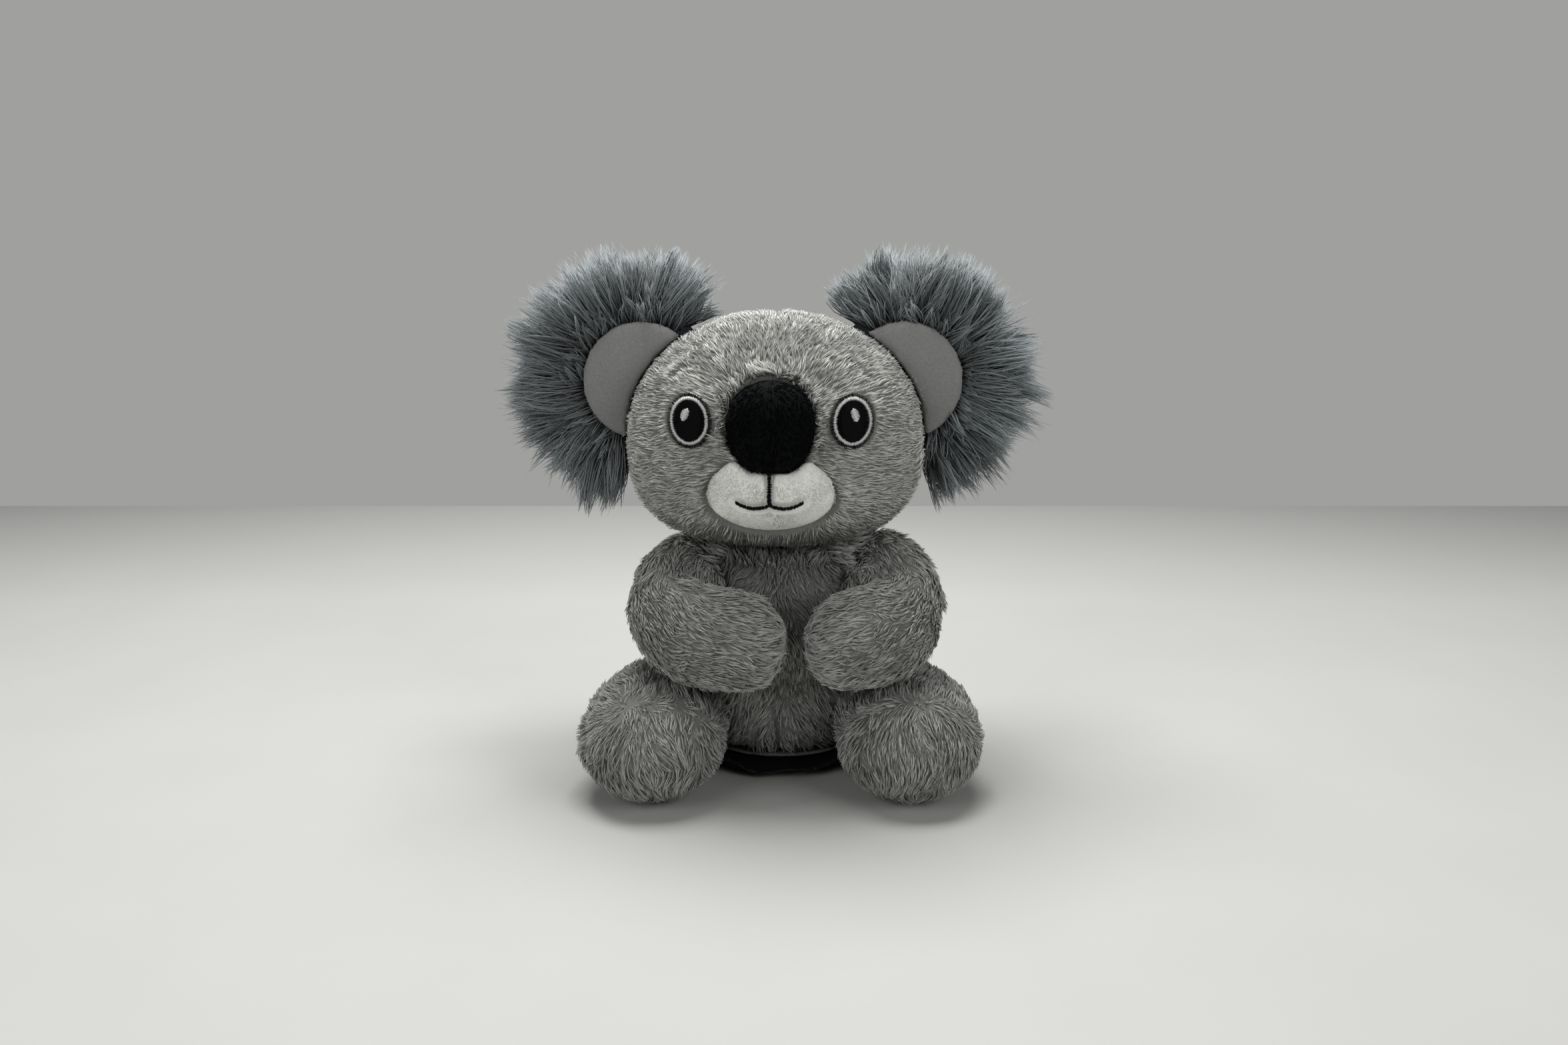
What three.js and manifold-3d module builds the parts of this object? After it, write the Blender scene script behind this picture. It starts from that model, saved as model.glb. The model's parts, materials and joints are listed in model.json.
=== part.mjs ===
// Shoulder plush koala: a small stuffed koala that sits on a cloth covered steel plate.
// The wearer puts the plate under a shirt, and magnets sewn into the koala's seat hold it on.
// Millimetres, +Z up, the face looks along -Y, so the koala's right side is at -X.
// The origin is the middle of the plate's underside, on the surface that the koala sits on.
import * as THREE from 'three';
import { mergeVertices } from 'three/addons/utils/BufferGeometryUtils.js';
import Module from 'manifold-3d';

const wasm = await Module();
wasm.setup();

// Cloth, seams and clearances
const PLUSH_THICKNESS = 3;
const SEAM_GAP = 0.3;
const FILLING_GAP = 0.4;
const STITCH_THICKNESS = 0.45;
const STITCH_GAP = 0.1;
const OVERRUN = 20;

// Plate: a flat pouch with a rippled rim, and the steel in it
const PLATE_HALF_WIDTH = 28;
const PLATE_HALF_DEPTH = 21.5;
const PLATE_THICKNESS = 4.6;
const PLATE_FLAT_CUT = 0.5;
const RIM_REACH = 3;
const RIM_THICKNESS = 1.2;
const RIM_RISE = 1.4;
const RIM_RIPPLE = 1.7;
const RIM_RIPPLES = 5;
const STEEL_INSET = 5.5;
const STEEL_THICKNESS = 1.6;
const STEEL_CLEARANCE = 0.3;
const POUCH_MOUTH_WIDTH = 30;

// Seat: the round patch under the koala, and the magnets in their pouch above it
const PATCH_THICKNESS = 1;
const PATCH_SIDE_INSET = 9;
const PATCH_FRONT_INSET = 8;
const SEAT_HOLE_MARGIN = 2;
const MAGNET_RADIUS = 8.5;
const MAGNET_THICKNESS = 3;
const MAGNET_SPACING = 19.4;
const POUCH_CLOTH = 0.9;
const POUCH_SLIT_LENGTH = 26;
const POUCH_SLIT_WIDTH = 1.4;

// Torso: a pear shaped sack, fuller at the seat, where it is cut flat
const SEAT_FLAT_CUT = 4.2;
const TORSO = {
  toLeft: 0.8, halfWidth: 33, halfDepth: 25, up: 44, down: 38,
  squareness: 2.2, fullnessUp: 2.8, fullnessDown: 2.5, taperShare: 0.08,
};
const NECK_HOLE_RADIUS = 13;

// Head: an oval ball, fuller below its widest line, that sinks into the torso's top
const NECK_SINK = 7;
const HEAD = {
  toRight: 1, setForward: 3, halfWidth: 48, halfDepth: 40, up: 41, down: 33,
  squareness: 2.1, fullnessUp: 2.05, fullnessDown: 2.9, taperShare: 0,
};
const HEAD_TURN_LIMIT = 15;

// Face: nose and muzzle are padded pieces sewn on, and eyes, mouth and brows are stitched.
// Each rise is over the head's lowest point, and each sink is behind its foremost point
const FACE_TO_RIGHT = 0.8;
const NOSE = {
  rise: 42.5, sink: 4, halfWidth: 13.1, halfDepth: 11.5, up: 14, down: 15,
  squareness: 2.1, fullnessUp: 2.1, fullnessDown: 2.5, taperShare: -0.02,
};
const MUZZLE = {
  rise: 20.2, sink: 10, halfWidth: 22, halfDepth: 13, up: 15, down: 10.8,
  squareness: 2.2, fullnessUp: 2.5, fullnessDown: 2.3, taperShare: 0.06,
};
const PAD_CLOTH = 2;
const EYE_SPREAD = 23.9;
const EYE_RISE = 43.1;
const EYE_HALF_WIDTH = 6.2;
const EYE_HALF_HEIGHT = 7.5;
const EYE_SINK = 1.9;
const EYE_OUTLINE_WIDTH = 0.7;
const EYE_RING_WIDTH = 1.5;
const GLINT_HALF_WIDTH = 1;
const GLINT_HALF_HEIGHT = 1.9;
const GLINT_SIDE = 0.7;
const GLINT_RISE = 1.7;
const GLINT_TILT = 16;
const THREAD_WIDTH = 1.1;
const MOUTH_JOIN_DROP = 0.2;
const MOUTH_STEM = 10;
const MOUTH_ARC_CHORD = 9.7;
const MOUTH_ARC_SAG = 2.1;
const BROW_INNER_SPREAD = 22.7;
const BROW_INNER_RISE = 61.9;
const BROW_LENGTH = 11.5;
const BROW_SAG = 1.3;
const BROW_TILT = 40;

// Ears: a deep ruff of long fur round a shallow dish, lined with short plush over a pad
const EAR_INSET = 3.5;
const EAR_RISE = 50;
const EAR_SET_BACK = 7;
const FUR_HALF_WIDTH = 41;
const FUR_HALF_HEIGHT = 43.4;
const FUR_HALF_DEPTH = 11.5;
const FUR_FULLNESS = 2.2;
const FUR_CLUMPS = 16;
const FUR_CLUMP_DEPTH = 2.4;
const LINING_RADIUS = 18;
const LINING_INSET = 2.5;
const LINING_RISE = 1;
const LINING_THICKNESS = 2.4;
const LINING_DOME = 1.6;
const LINING_FRONT = 6.2;
const EAR_PAD_THICKNESS = 6;
const EAR_PAD_MARGIN = 2.5;

// Arms: stuffed mitts that hang from the shoulders and meet over the belly
const ARM_REACH = 60;
const ARM_HALF_BREADTH = 12.5;
const ARM_HALF_HEIGHT = 16.6;
const SHOULDER_RISE = 25;
const SHOULDER_FORWARD = 4;
const SHOULDER_INSET = 6.5;
const SHOULDER_TO_LEFT = 0.7;
const ARM_RAISE_LIMIT = 15;
const armSwellShares = [[0, 0.84], [0.3, 0.96], [0.62, 1], [0.85, 0.95], [1, 0.86]];
const rightArmPathShares = [
  [0.05, 0.1, 0.04], [-0.1, -0.08, -0.02], [-0.19, -0.27, -0.12], [-0.05, -0.48, -0.185],
  [0.22, -0.57, -0.21], [0.45, -0.6, -0.21],
];
const leftArmPathShares = [
  [-0.05, 0.1, 0.06], [0.13, -0.07, -0.01], [0.225, -0.25, -0.13], [0.1, -0.46, -0.19],
  [-0.12, -0.57, -0.21], [-0.32, -0.6, -0.205],
];

// Legs: short stuffed limbs that rise at the thigh, under the arms, and are cut flat where they stand
const LEG_REACH = 60;
const FOOT_HALF_BREADTH = 23.6;
const FOOT_HALF_HEIGHT = 18.7;
const FOOT_FLAT_CUT = 0.5;
const HIP_INSET = 8;
const HIP_FORWARD = 9;
const LEG_SPLAY_LIMIT = 15;
const legSwellShares = [[0, 0.75], [0.25, 0.92], [0.5, 0.97], [0.72, 1], [1, 1]];
const legPathShares = [
  [-0.05, -0.2, 0.02], [0.13, 0, 0.05], [0.24, 0.18, 0.045], [0.265, 0.425, 0], [0.3, 0.77, 0],
];

// Facets round and along each kind of form
const HEAD_FACETS = [32, 20];
const TORSO_FACETS = [24, 14];
const INNER_FACETS = [16, 10];
const PAD_FACETS = [20, 12];
const PAD_INNER_FACETS = [12, 8];
const LIMB_FACETS = [20, 14];
const LIMB_INNER_FACETS = [12, 8];
const RUFF_FACETS = [48, 10];
const PLATE_FACETS = [40, 6];
const OUTLINE_SEGMENTS = 12;
const CORNER_SEGMENTS = 2;
const THREAD_SEGMENTS = 3;
const EAR_PAD_FACETS = 24;
const EAR_DOME_FACETS = 3;

// Angles at which a moving piece's clearance is cut, as shares of its joint's range
const clearanceShares = [0, 0.5, 1];
const bothWayShares = [-1, 0, 1];

const ACROSS = new THREE.Vector3(1, 0, 0);
const UP = new THREE.Vector3(0, 0, 1);

// Solids and meshes

function solidOf(geometry) {
  const bare = geometry.clone();
  bare.deleteAttribute('normal');
  bare.deleteAttribute('uv');
  const merged = mergeVertices(bare);
  const corners = new Uint32Array(merged.index.array);
  return new wasm.Manifold(new wasm.Mesh({
    numProp: 3,
    vertProperties: new Float32Array(merged.attributes.position.array),
    triVerts: corners,
  }));
}

function pieceOf(name, solid, material) {
  const { vertProperties, triVerts } = solid.getMesh();
  const geometry = new THREE.BufferGeometry();
  geometry.setAttribute('position', new THREE.BufferAttribute(vertProperties, 3));
  geometry.setIndex(new THREE.BufferAttribute(triVerts, 1));
  geometry.computeVertexNormals();
  const mesh = new THREE.Mesh(geometry, material);
  mesh.name = name;
  return mesh;
}

function joined(solids) {
  return solids.reduce((whole, next) => whole.add(next));
}

// Joins copies of a solid turned about a line, the space that it needs while it turns
function swept(solid, axis, anchor, limitDegrees, shares) {
  const copies = shares.map((share) => {
    const turn = new THREE.Matrix4().makeRotationAxis(axis, THREE.MathUtils.degToRad(share * limitDegrees));
    const there = new THREE.Matrix4().makeTranslation(anchor.x, anchor.y, anchor.z);
    const back = new THREE.Matrix4().makeTranslation(-anchor.x, -anchor.y, -anchor.z);
    return solid.transform(there.multiply(turn).multiply(back).elements);
  });
  return joined(copies);
}

// Skins rings of equal count that are stacked between two end points
function skinOf(rings, first, last) {
  const count = rings[0].length;
  const points = [...rings.flat(), first, last];
  const corners = [];
  for (let ring = 0; ring + 1 < rings.length; ring += 1) {
    for (let side = 0; side < count; side += 1) {
      const next = (side + 1) % count;
      const a = ring * count + side;
      const b = ring * count + next;
      corners.push(a, b, a + count, b, b + count, a + count);
    }
  }
  const start = rings.length * count;
  const top = (rings.length - 1) * count;
  for (let side = 0; side < count; side += 1) {
    const next = (side + 1) % count;
    corners.push(start, next, side, start + 1, top + side, top + next);
  }
  return indexedGeometry(points, corners);
}

// Skins rings of equal count into a closed hoop, the last ring joined to the first
function hoopOf(rings) {
  const count = rings[0].length;
  const corners = [];
  for (let ring = 0; ring < rings.length; ring += 1) {
    const here = ring * count;
    const ahead = ((ring + 1) % rings.length) * count;
    for (let side = 0; side < count; side += 1) {
      const next = (side + 1) % count;
      corners.push(here + side, here + next, ahead + side, here + next, ahead + next, ahead + side);
    }
  }
  return indexedGeometry(rings.flat(), corners);
}

function indexedGeometry(points, corners) {
  const geometry = new THREE.BufferGeometry().setFromPoints(points);
  geometry.setIndex(corners);
  return geometry;
}

// Forms

// A stuffed form: a ball pushed out to its half sizes, boxier where its fullness is higher,
// and narrower toward the top by its taper
function stuffed(form, centre, grow, [around, stacked]) {
  const geometry = new THREE.SphereGeometry(1, around, stacked).rotateX(Math.PI / 2);
  const position = geometry.attributes.position;
  const level = form.squareness;
  for (let i = 0; i < position.count; i += 1) {
    const [x, y, z] = [position.getX(i), position.getY(i), position.getZ(i)];
    const upright = z > 0 ? form.fullnessUp : form.fullnessDown;
    const sideways = (Math.abs(x) ** level + Math.abs(y) ** level) ** (1 / level);
    const reach = (sideways ** upright + Math.abs(z) ** upright) ** (-1 / upright);
    const narrowing = 1 - form.taperShare * z * reach;
    const rise = z > 0 ? form.up : form.down;
    position.setXYZ(
      i,
      centre.x + x * reach * narrowing * (form.halfWidth + grow),
      centre.y + y * reach * narrowing * (form.halfDepth + grow),
      centre.z + z * reach * (rise + grow),
    );
  }
  return solidOf(geometry);
}

function shareAt(table, at) {
  const above = table.findIndex(([place]) => place >= at);
  if (above <= 0) return table[0][1];
  const [low, lowShare] = table[above - 1];
  const [high, highShare] = table[above];
  return THREE.MathUtils.lerp(lowShare, highShare, THREE.MathUtils.smoothstep(at, low, high));
}

// A stuffed limb: rings round a bent middle line, swelling by its shares and round at both ends
function limb(path, swellShares, halfBreadth, halfHeight, grow, [around, along]) {
  const line = new THREE.CatmullRomCurve3(path);
  const length = line.getLength();
  const placeAt = (distance) => {
    const share = THREE.MathUtils.clamp(distance / length, 0, 1);
    const ahead = line.getTangentAt(share);
    return [line.getPointAt(share).addScaledVector(ahead, distance - share * length), ahead, share];
  };
  const rings = [];
  for (let ring = 1; ring < along; ring += 1) {
    const fromStart = (length + 2 * grow) * (1 - Math.cos((Math.PI * ring) / along)) / 2;
    const [centre, ahead, share] = placeAt(fromStart - grow);
    const sideways = new THREE.Vector3().crossVectors(ahead, UP).normalize();
    const upward = new THREE.Vector3().crossVectors(sideways, ahead);
    const swell = shareAt(swellShares, share);
    const capLength = Math.min(swell * halfBreadth, length / 2) + grow;
    const fromEnd = Math.min(fromStart, length + 2 * grow - fromStart) / capLength;
    const round = fromEnd < 1 ? Math.sqrt(1 - (1 - fromEnd) ** 2) : 1;
    const points = [];
    for (let side = 0; side < around; side += 1) {
      const angle = (2 * Math.PI * side) / around;
      points.push(centre.clone()
        .addScaledVector(sideways, Math.cos(angle) * round * (swell * halfBreadth + grow))
        .addScaledVector(upward, Math.sin(angle) * round * (swell * halfHeight + grow)));
    }
    rings.push(points);
  }
  return outward(skinOf(rings, placeAt(-grow)[0], placeAt(length + grow)[0]));
}

// Turns a closed surface's faces the right way out
function outward(geometry) {
  const solid = solidOf(geometry);
  if (solid.volume() > 0) return solid;
  const corners = geometry.index.array;
  for (let i = 0; i < corners.length; i += 3) {
    [corners[i], corners[i + 1]] = [corners[i + 1], corners[i]];
  }
  return solidOf(geometry);
}

function block(low, high) {
  const size = high.clone().sub(low);
  const geometry = new THREE.BoxGeometry(size.x, size.y, size.z);
  const middle = low.clone().add(high).divideScalar(2);
  return solidOf(geometry.translate(middle.x, middle.y, middle.z));
}

// Everything under a level, as far out as the koala reaches
function below(level) {
  const far = FUR_HALF_WIDTH + HEAD.halfWidth + OVERRUN;
  return block(new THREE.Vector3(-far, -far, -far), new THREE.Vector3(far, far, level));
}

// An upright prism with an outline in X and Y
function standing(shape, bottom, top, curveSegments = OUTLINE_SEGMENTS) {
  const depth = top - bottom;
  const geometry = new THREE.ExtrudeGeometry(shape, { depth, bevelEnabled: false, curveSegments });
  return solidOf(geometry.translate(0, 0, bottom));
}

// A prism with an outline in X and Z that runs forward from behind the face
function facing(shape, curveSegments = OUTLINE_SEGMENTS) {
  const depth = 2 * HEAD.halfDepth;
  const geometry = new THREE.ExtrudeGeometry(shape, { depth, bevelEnabled: false, curveSegments });
  return solidOf(geometry.rotateX(Math.PI / 2));
}

function ellipse(x, y, halfWidth, halfHeight, turn = 0) {
  const shape = new THREE.Shape();
  shape.absellipse(x, y, halfWidth, halfHeight, 0, 2 * Math.PI, false, turn);
  return shape;
}

function roundedRectangle(halfWidth, halfHeight, corner) {
  const shape = new THREE.Shape();
  shape.absarc(halfWidth - corner, halfHeight - corner, corner, 0, Math.PI / 2);
  shape.absarc(corner - halfWidth, halfHeight - corner, corner, Math.PI / 2, Math.PI);
  shape.absarc(corner - halfWidth, corner - halfHeight, corner, Math.PI, 1.5 * Math.PI);
  shape.absarc(halfWidth - corner, corner - halfHeight, corner, 1.5 * Math.PI, 2 * Math.PI);
  return shape;
}

// The outline of a thread laid as an arc that sags below its chord
function threadArc(start, end, sag, width) {
  const chord = start.distanceTo(end);
  const radius = (chord ** 2 / 4 + sag ** 2) / (2 * sag);
  const along = end.clone().sub(start).normalize();
  const upward = new THREE.Vector2(-along.y, along.x);
  const centre = start.clone().add(end).divideScalar(2).addScaledVector(upward, radius - sag);
  const from = Math.atan2(start.y - centre.y, start.x - centre.x);
  const half = Math.asin(chord / 2 / radius);
  const shape = new THREE.Shape();
  shape.absarc(centre.x, centre.y, radius + width / 2, from, from + 2 * half, false);
  shape.absarc(centre.x, centre.y, radius - width / 2, from + 2 * half, from, true);
  return shape;
}

// Looks

function look(colour, roughness = 1, metalness = 0) {
  return new THREE.MeshStandardMaterial({ color: colour, roughness, metalness });
}
const plushGrey = look('#8a8a86');
const liningGrey = look('#9a9a98');
const furSlate = look('#4c5558');
const noseBlack = look('#0c0f12');
const muzzleWhite = look('#e4e4df');
const threadBlack = look('#131313', 0.6);
const threadWhite = look('#d6d6d2', 0.6);
const stuffingWhite = look('#eeeeea');
const plateBlack = look('#101112', 0.8);
const steelGrey = look('#8f9296', 0.4, 1);
const magnetGrey = look('#a7a9ac', 0.3, 1);

const koala = new THREE.Group();

function addPiece(name, solid, material) {
  koala.add(pieceOf(name, solid, material));
}

// Plate: a soft pouch, flat underneath, with its seam standing out as a rippled rim
const plateForm = {
  halfWidth: PLATE_HALF_WIDTH, halfDepth: PLATE_HALF_DEPTH, up: PLATE_THICKNESS / 2,
  down: PLATE_THICKNESS / 2 + PLATE_FLAT_CUT, squareness: 2.2, fullnessUp: 3.5, fullnessDown: 3.5,
  taperShare: 0,
};
const plateMiddle = new THREE.Vector3(0, 0, PLATE_THICKNESS / 2);

function rippledRim(grow) {
  const rings = [];
  const steps = PLATE_FACETS[0];
  for (let step = 0; step < steps; step += 1) {
    const angle = (2 * Math.PI * step) / steps;
    const [x, y] = [Math.cos(angle), Math.sin(angle)];
    const level = plateForm.squareness;
    const reach = (Math.abs(x) ** level + Math.abs(y) ** level) ** (-1 / level);
    const frontShare = Math.max(0, -y);
    const ripple = RIM_RIPPLE * frontShare * Math.sin(RIM_RIPPLES * angle);
    const height = plateMiddle.z + (RIM_RISE * (1 + frontShare)) / 2 + ripple;
    const half = RIM_THICKNESS / 2 + grow;
    const at = (out, up) => new THREE.Vector3(
      x * reach * (PLATE_HALF_WIDTH + out), y * reach * (PLATE_HALF_DEPTH + out), up);
    rings.push([
      at(-RIM_REACH, plateMiddle.z - half), at(RIM_REACH + grow, height - half),
      at(RIM_REACH + grow, height + half), at(-RIM_REACH, plateMiddle.z + half),
    ]);
  }
  return outward(hoopOf(rings));
}

function plateEnvelope(grow) {
  const pad = stuffed(plateForm, plateMiddle, grow, PLATE_FACETS);
  return pad.add(rippledRim(grow)).subtract(below(-grow));
}

const steelBottom = (PLATE_THICKNESS - STEEL_THICKNESS) / 2;
const steelTop = steelBottom + STEEL_THICKNESS;

function steel(grow) {
  const shape = ellipse(0, 0, PLATE_HALF_WIDTH - STEEL_INSET + grow, PLATE_HALF_DEPTH - STEEL_INSET + grow);
  return standing(shape, steelBottom - grow, steelTop + grow);
}

const plateMouth = block(
  new THREE.Vector3(-POUCH_MOUTH_WIDTH / 2, 0, steelBottom),
  new THREE.Vector3(POUCH_MOUTH_WIDTH / 2, PLATE_HALF_DEPTH + RIM_REACH + OVERRUN, steelTop));
addPiece('plate_cover', plateEnvelope(0).subtract(steel(STEEL_CLEARANCE)).subtract(plateMouth), plateBlack);
addPiece('steel_plate', steel(0), steelGrey);

// Levels of the seat, each resting a seam's gap above the one below
const patchBottom = PLATE_THICKNESS + SEAM_GAP;
const patchTop = patchBottom + PATCH_THICKNESS;
const seatLevel = patchTop + SEAM_GAP;
const patchShape = ellipse(
  TORSO.toLeft, 0, TORSO.halfWidth - PATCH_SIDE_INSET, TORSO.halfDepth - PATCH_FRONT_INSET);
addPiece('base_patch', standing(patchShape, patchBottom, patchTop), plushGrey);

// Magnets lie side by side in a slit pouch that fills the hole in the seat
const pouchHalfWidth = (MAGNET_SPACING + 2 * MAGNET_RADIUS) / 2 + SEAM_GAP + POUCH_CLOTH;
const pouchHalfDepth = MAGNET_RADIUS + SEAM_GAP + POUCH_CLOTH;
const pouchTop = seatLevel + MAGNET_THICKNESS + 2 * (SEAM_GAP + POUCH_CLOTH);

function pouchBody(grow) {
  const corner = pouchHalfDepth + grow;
  const shape = roundedRectangle(pouchHalfWidth + grow, pouchHalfDepth + grow, corner);
  return standing(shape, seatLevel - grow, pouchTop + grow, CORNER_SEGMENTS).translate(TORSO.toLeft, 0, 0);
}

const pouchSlit = block(
  new THREE.Vector3(TORSO.toLeft - POUCH_SLIT_LENGTH / 2, -POUCH_SLIT_WIDTH / 2, pouchTop - 2 * POUCH_CLOTH),
  new THREE.Vector3(TORSO.toLeft + POUCH_SLIT_LENGTH / 2, POUCH_SLIT_WIDTH / 2, pouchTop + OVERRUN));
addPiece('magnet_pouch', pouchBody(0).subtract(pouchBody(-POUCH_CLOTH)).subtract(pouchSlit), stuffingWhite);
for (const [name, side] of [['right_magnet', -1], ['left_magnet', 1]]) {
  const bottom = seatLevel + POUCH_CLOTH + SEAM_GAP;
  addPiece(name, standing(
    ellipse(TORSO.toLeft + (side * MAGNET_SPACING) / 2, 0, MAGNET_RADIUS, MAGNET_RADIUS),
    bottom, bottom + MAGNET_THICKNESS), magnetGrey);
}

// Middles of the torso and the head, which carry the other pieces
const torsoMiddle = new THREE.Vector3(TORSO.toLeft, 0, seatLevel + TORSO.down - SEAT_FLAT_CUT);
const neckLevel = torsoMiddle.z + TORSO.up - NECK_SINK;
const headMiddle = new THREE.Vector3(-HEAD.toRight, -HEAD.setForward, neckLevel + HEAD.down);

// Head forms, and the space that the turning head keeps clear

function head(grow, facets) {
  return stuffed(HEAD, headMiddle, grow, facets);
}

function turningHead(grow, facets) {
  return swept(head(grow, facets), UP, headMiddle, HEAD_TURN_LIMIT, bothWayShares);
}

const neckHole = standing(ellipse(headMiddle.x, headMiddle.y, NECK_HOLE_RADIUS, NECK_HOLE_RADIUS),
  neckLevel - OVERRUN, neckLevel + PLUSH_THICKNESS + OVERRUN);
const headOutside = head(0, HEAD_FACETS);
const headClearance = head(SEAM_GAP, HEAD_FACETS);

// Torso: cut flat at the seat and dished at the top, where the head sits
function torso(grow, facets) {
  return stuffed(TORSO, torsoMiddle, grow, facets).subtract(below(seatLevel - grow));
}

const seatHole = standing(
  ellipse(TORSO.toLeft, 0, pouchHalfWidth + SEAT_HOLE_MARGIN, pouchHalfDepth + SEAT_HOLE_MARGIN),
  seatLevel - SEAM_GAP, seatLevel + PLUSH_THICKNESS + SEAM_GAP);
const torsoSpace = torso(-PLUSH_THICKNESS, INNER_FACETS)
  .subtract(turningHead(SEAM_GAP + PLUSH_THICKNESS, INNER_FACETS));
const torsoShell = torso(0, TORSO_FACETS).subtract(turningHead(SEAM_GAP, HEAD_FACETS)).subtract(torsoSpace)
  .subtract(neckHole).subtract(seatHole).subtract(pouchBody(SEAM_GAP));
addPiece('torso_shell', torsoShell, plushGrey);
addPiece('torso_filling', torso(-PLUSH_THICKNESS - FILLING_GAP, INNER_FACETS)
  .subtract(turningHead(SEAM_GAP + PLUSH_THICKNESS + FILLING_GAP, INNER_FACETS))
  .subtract(pouchBody(FILLING_GAP)), stuffingWhite);

// Nose and muzzle: each a cover over its own pad, and both follow the head behind them
const faceLine = headMiddle.x - FACE_TO_RIGHT;

function onFace(form) {
  return new THREE.Vector3(faceLine, headMiddle.y + form.sink - HEAD.halfDepth, neckLevel + form.rise);
}

function nose(grow, facets) {
  return stuffed(NOSE, onFace(NOSE), grow, facets);
}

function muzzle(grow, facets) {
  return stuffed(MUZZLE, onFace(MUZZLE), grow, facets);
}

const padSeat = head(SEAM_GAP + FILLING_GAP, HEAD_FACETS);
addPiece('nose_cover', nose(0, PAD_FACETS).subtract(nose(-PAD_CLOTH, PAD_INNER_FACETS))
  .subtract(headClearance), noseBlack);
addPiece('nose_filling', nose(-PAD_CLOTH - FILLING_GAP, PAD_INNER_FACETS).subtract(padSeat), stuffingWhite);
const noseClearance = nose(SEAM_GAP, PAD_FACETS);
addPiece('muzzle_cover', muzzle(0, PAD_FACETS).subtract(muzzle(-PAD_CLOTH, PAD_INNER_FACETS))
  .subtract(headClearance).subtract(noseClearance), muzzleWhite);
addPiece('muzzle_filling', muzzle(-PAD_CLOTH - FILLING_GAP, PAD_INNER_FACETS).subtract(padSeat)
  .subtract(nose(SEAM_GAP + FILLING_GAP, PAD_FACETS)), stuffingWhite);

// A layer of stitching between two depths of a form's surface
function stitchLayer(form, bottom, facets) {
  return form(bottom + STITCH_THICKNESS, facets).subtract(form(bottom, facets));
}

// Mouth: a stem under the nose that parts into two arcs
const mouthJoin = new THREE.Vector2(onFace(MUZZLE).x, onFace(MUZZLE).z - MOUTH_JOIN_DROP);
const mouthArcs = [-1, 1].map((side) => {
  const corner = mouthJoin.clone().add(new THREE.Vector2(side * MOUTH_ARC_CHORD, 0));
  const ends = side < 0 ? [corner, mouthJoin] : [mouthJoin, corner];
  return facing(threadArc(...ends, MOUTH_ARC_SAG, THREAD_WIDTH), THREAD_SEGMENTS);
});
const mouthStem = facing(ellipse(mouthJoin.x, mouthJoin.y + MOUTH_STEM / 2 - THREAD_WIDTH / 2,
  THREAD_WIDTH / 2, MOUTH_STEM / 2 + THREAD_WIDTH / 2), THREAD_SEGMENTS);
const mouthLayer = stitchLayer(muzzle, STITCH_GAP, PAD_FACETS);
addPiece('mouth_stitch', joined([mouthStem, ...mouthArcs]).intersect(mouthLayer)
  .subtract(noseClearance).subtract(headClearance), threadBlack);

// Eyes: four layers of satin stitch on the backing cloth, in a pocket in the pile
const eyeLevel = neckLevel + EYE_RISE;

function eyeLayers(side) {
  const x = faceLine + side * EYE_SPREAD;
  const narrowing = [0, EYE_OUTLINE_WIDTH, EYE_OUTLINE_WIDTH + EYE_RING_WIDTH];
  const rounds = narrowing.map((less) => ellipse(x, eyeLevel, EYE_HALF_WIDTH - less, EYE_HALF_HEIGHT - less));
  const glint = ellipse(x + GLINT_SIDE, eyeLevel + GLINT_RISE, GLINT_HALF_WIDTH, GLINT_HALF_HEIGHT,
    THREE.MathUtils.degToRad(GLINT_TILT));
  const step = STITCH_THICKNESS + STITCH_GAP;
  return [...rounds, glint].map((shape, layer) => (
    facing(shape).intersect(stitchLayer(head, layer * step - EYE_SINK, HEAD_FACETS))));
}

function eyePocket(side) {
  const x = faceLine + side * EYE_SPREAD;
  const outline = ellipse(x, eyeLevel, EYE_HALF_WIDTH + STITCH_GAP, EYE_HALF_HEIGHT + STITCH_GAP);
  return facing(outline).subtract(head(-EYE_SINK - STITCH_GAP, HEAD_FACETS));
}

// Brows: one short arc of thread over each eye, lower at its outer end
function brow(side) {
  const inner = new THREE.Vector2(faceLine + side * BROW_INNER_SPREAD, neckLevel + BROW_INNER_RISE);
  const fall = THREE.MathUtils.degToRad(BROW_TILT);
  const outer = inner.clone().add(new THREE.Vector2(
    side * BROW_LENGTH * Math.cos(fall), -BROW_LENGTH * Math.sin(fall)));
  const ends = side < 0 ? [inner, outer] : [outer, inner];
  return facing(threadArc(...ends, BROW_SAG, THREAD_WIDTH), THREAD_SEGMENTS)
    .intersect(stitchLayer(head, STITCH_GAP, HEAD_FACETS));
}

const eyeNames = [
  ['outline', threadBlack], ['ring', threadWhite], ['pupil', threadBlack], ['glint', threadWhite],
];
for (const [sideName, side] of [['right', -1], ['left', 1]]) {
  eyeLayers(side).forEach((layer, i) => {
    addPiece(`${sideName}_eye_${eyeNames[i][0]}`, layer, eyeNames[i][1]);
  });
  addPiece(`${sideName}_brow_stitch`, brow(side), threadBlack);
}

addPiece('head_shell', headOutside.subtract(head(-PLUSH_THICKNESS, INNER_FACETS)).subtract(neckHole)
  .subtract(eyePocket(-1)).subtract(eyePocket(1)), plushGrey);
addPiece('head_filling', head(-PLUSH_THICKNESS - FILLING_GAP, INNER_FACETS), stuffingWhite);

// Ears

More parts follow.
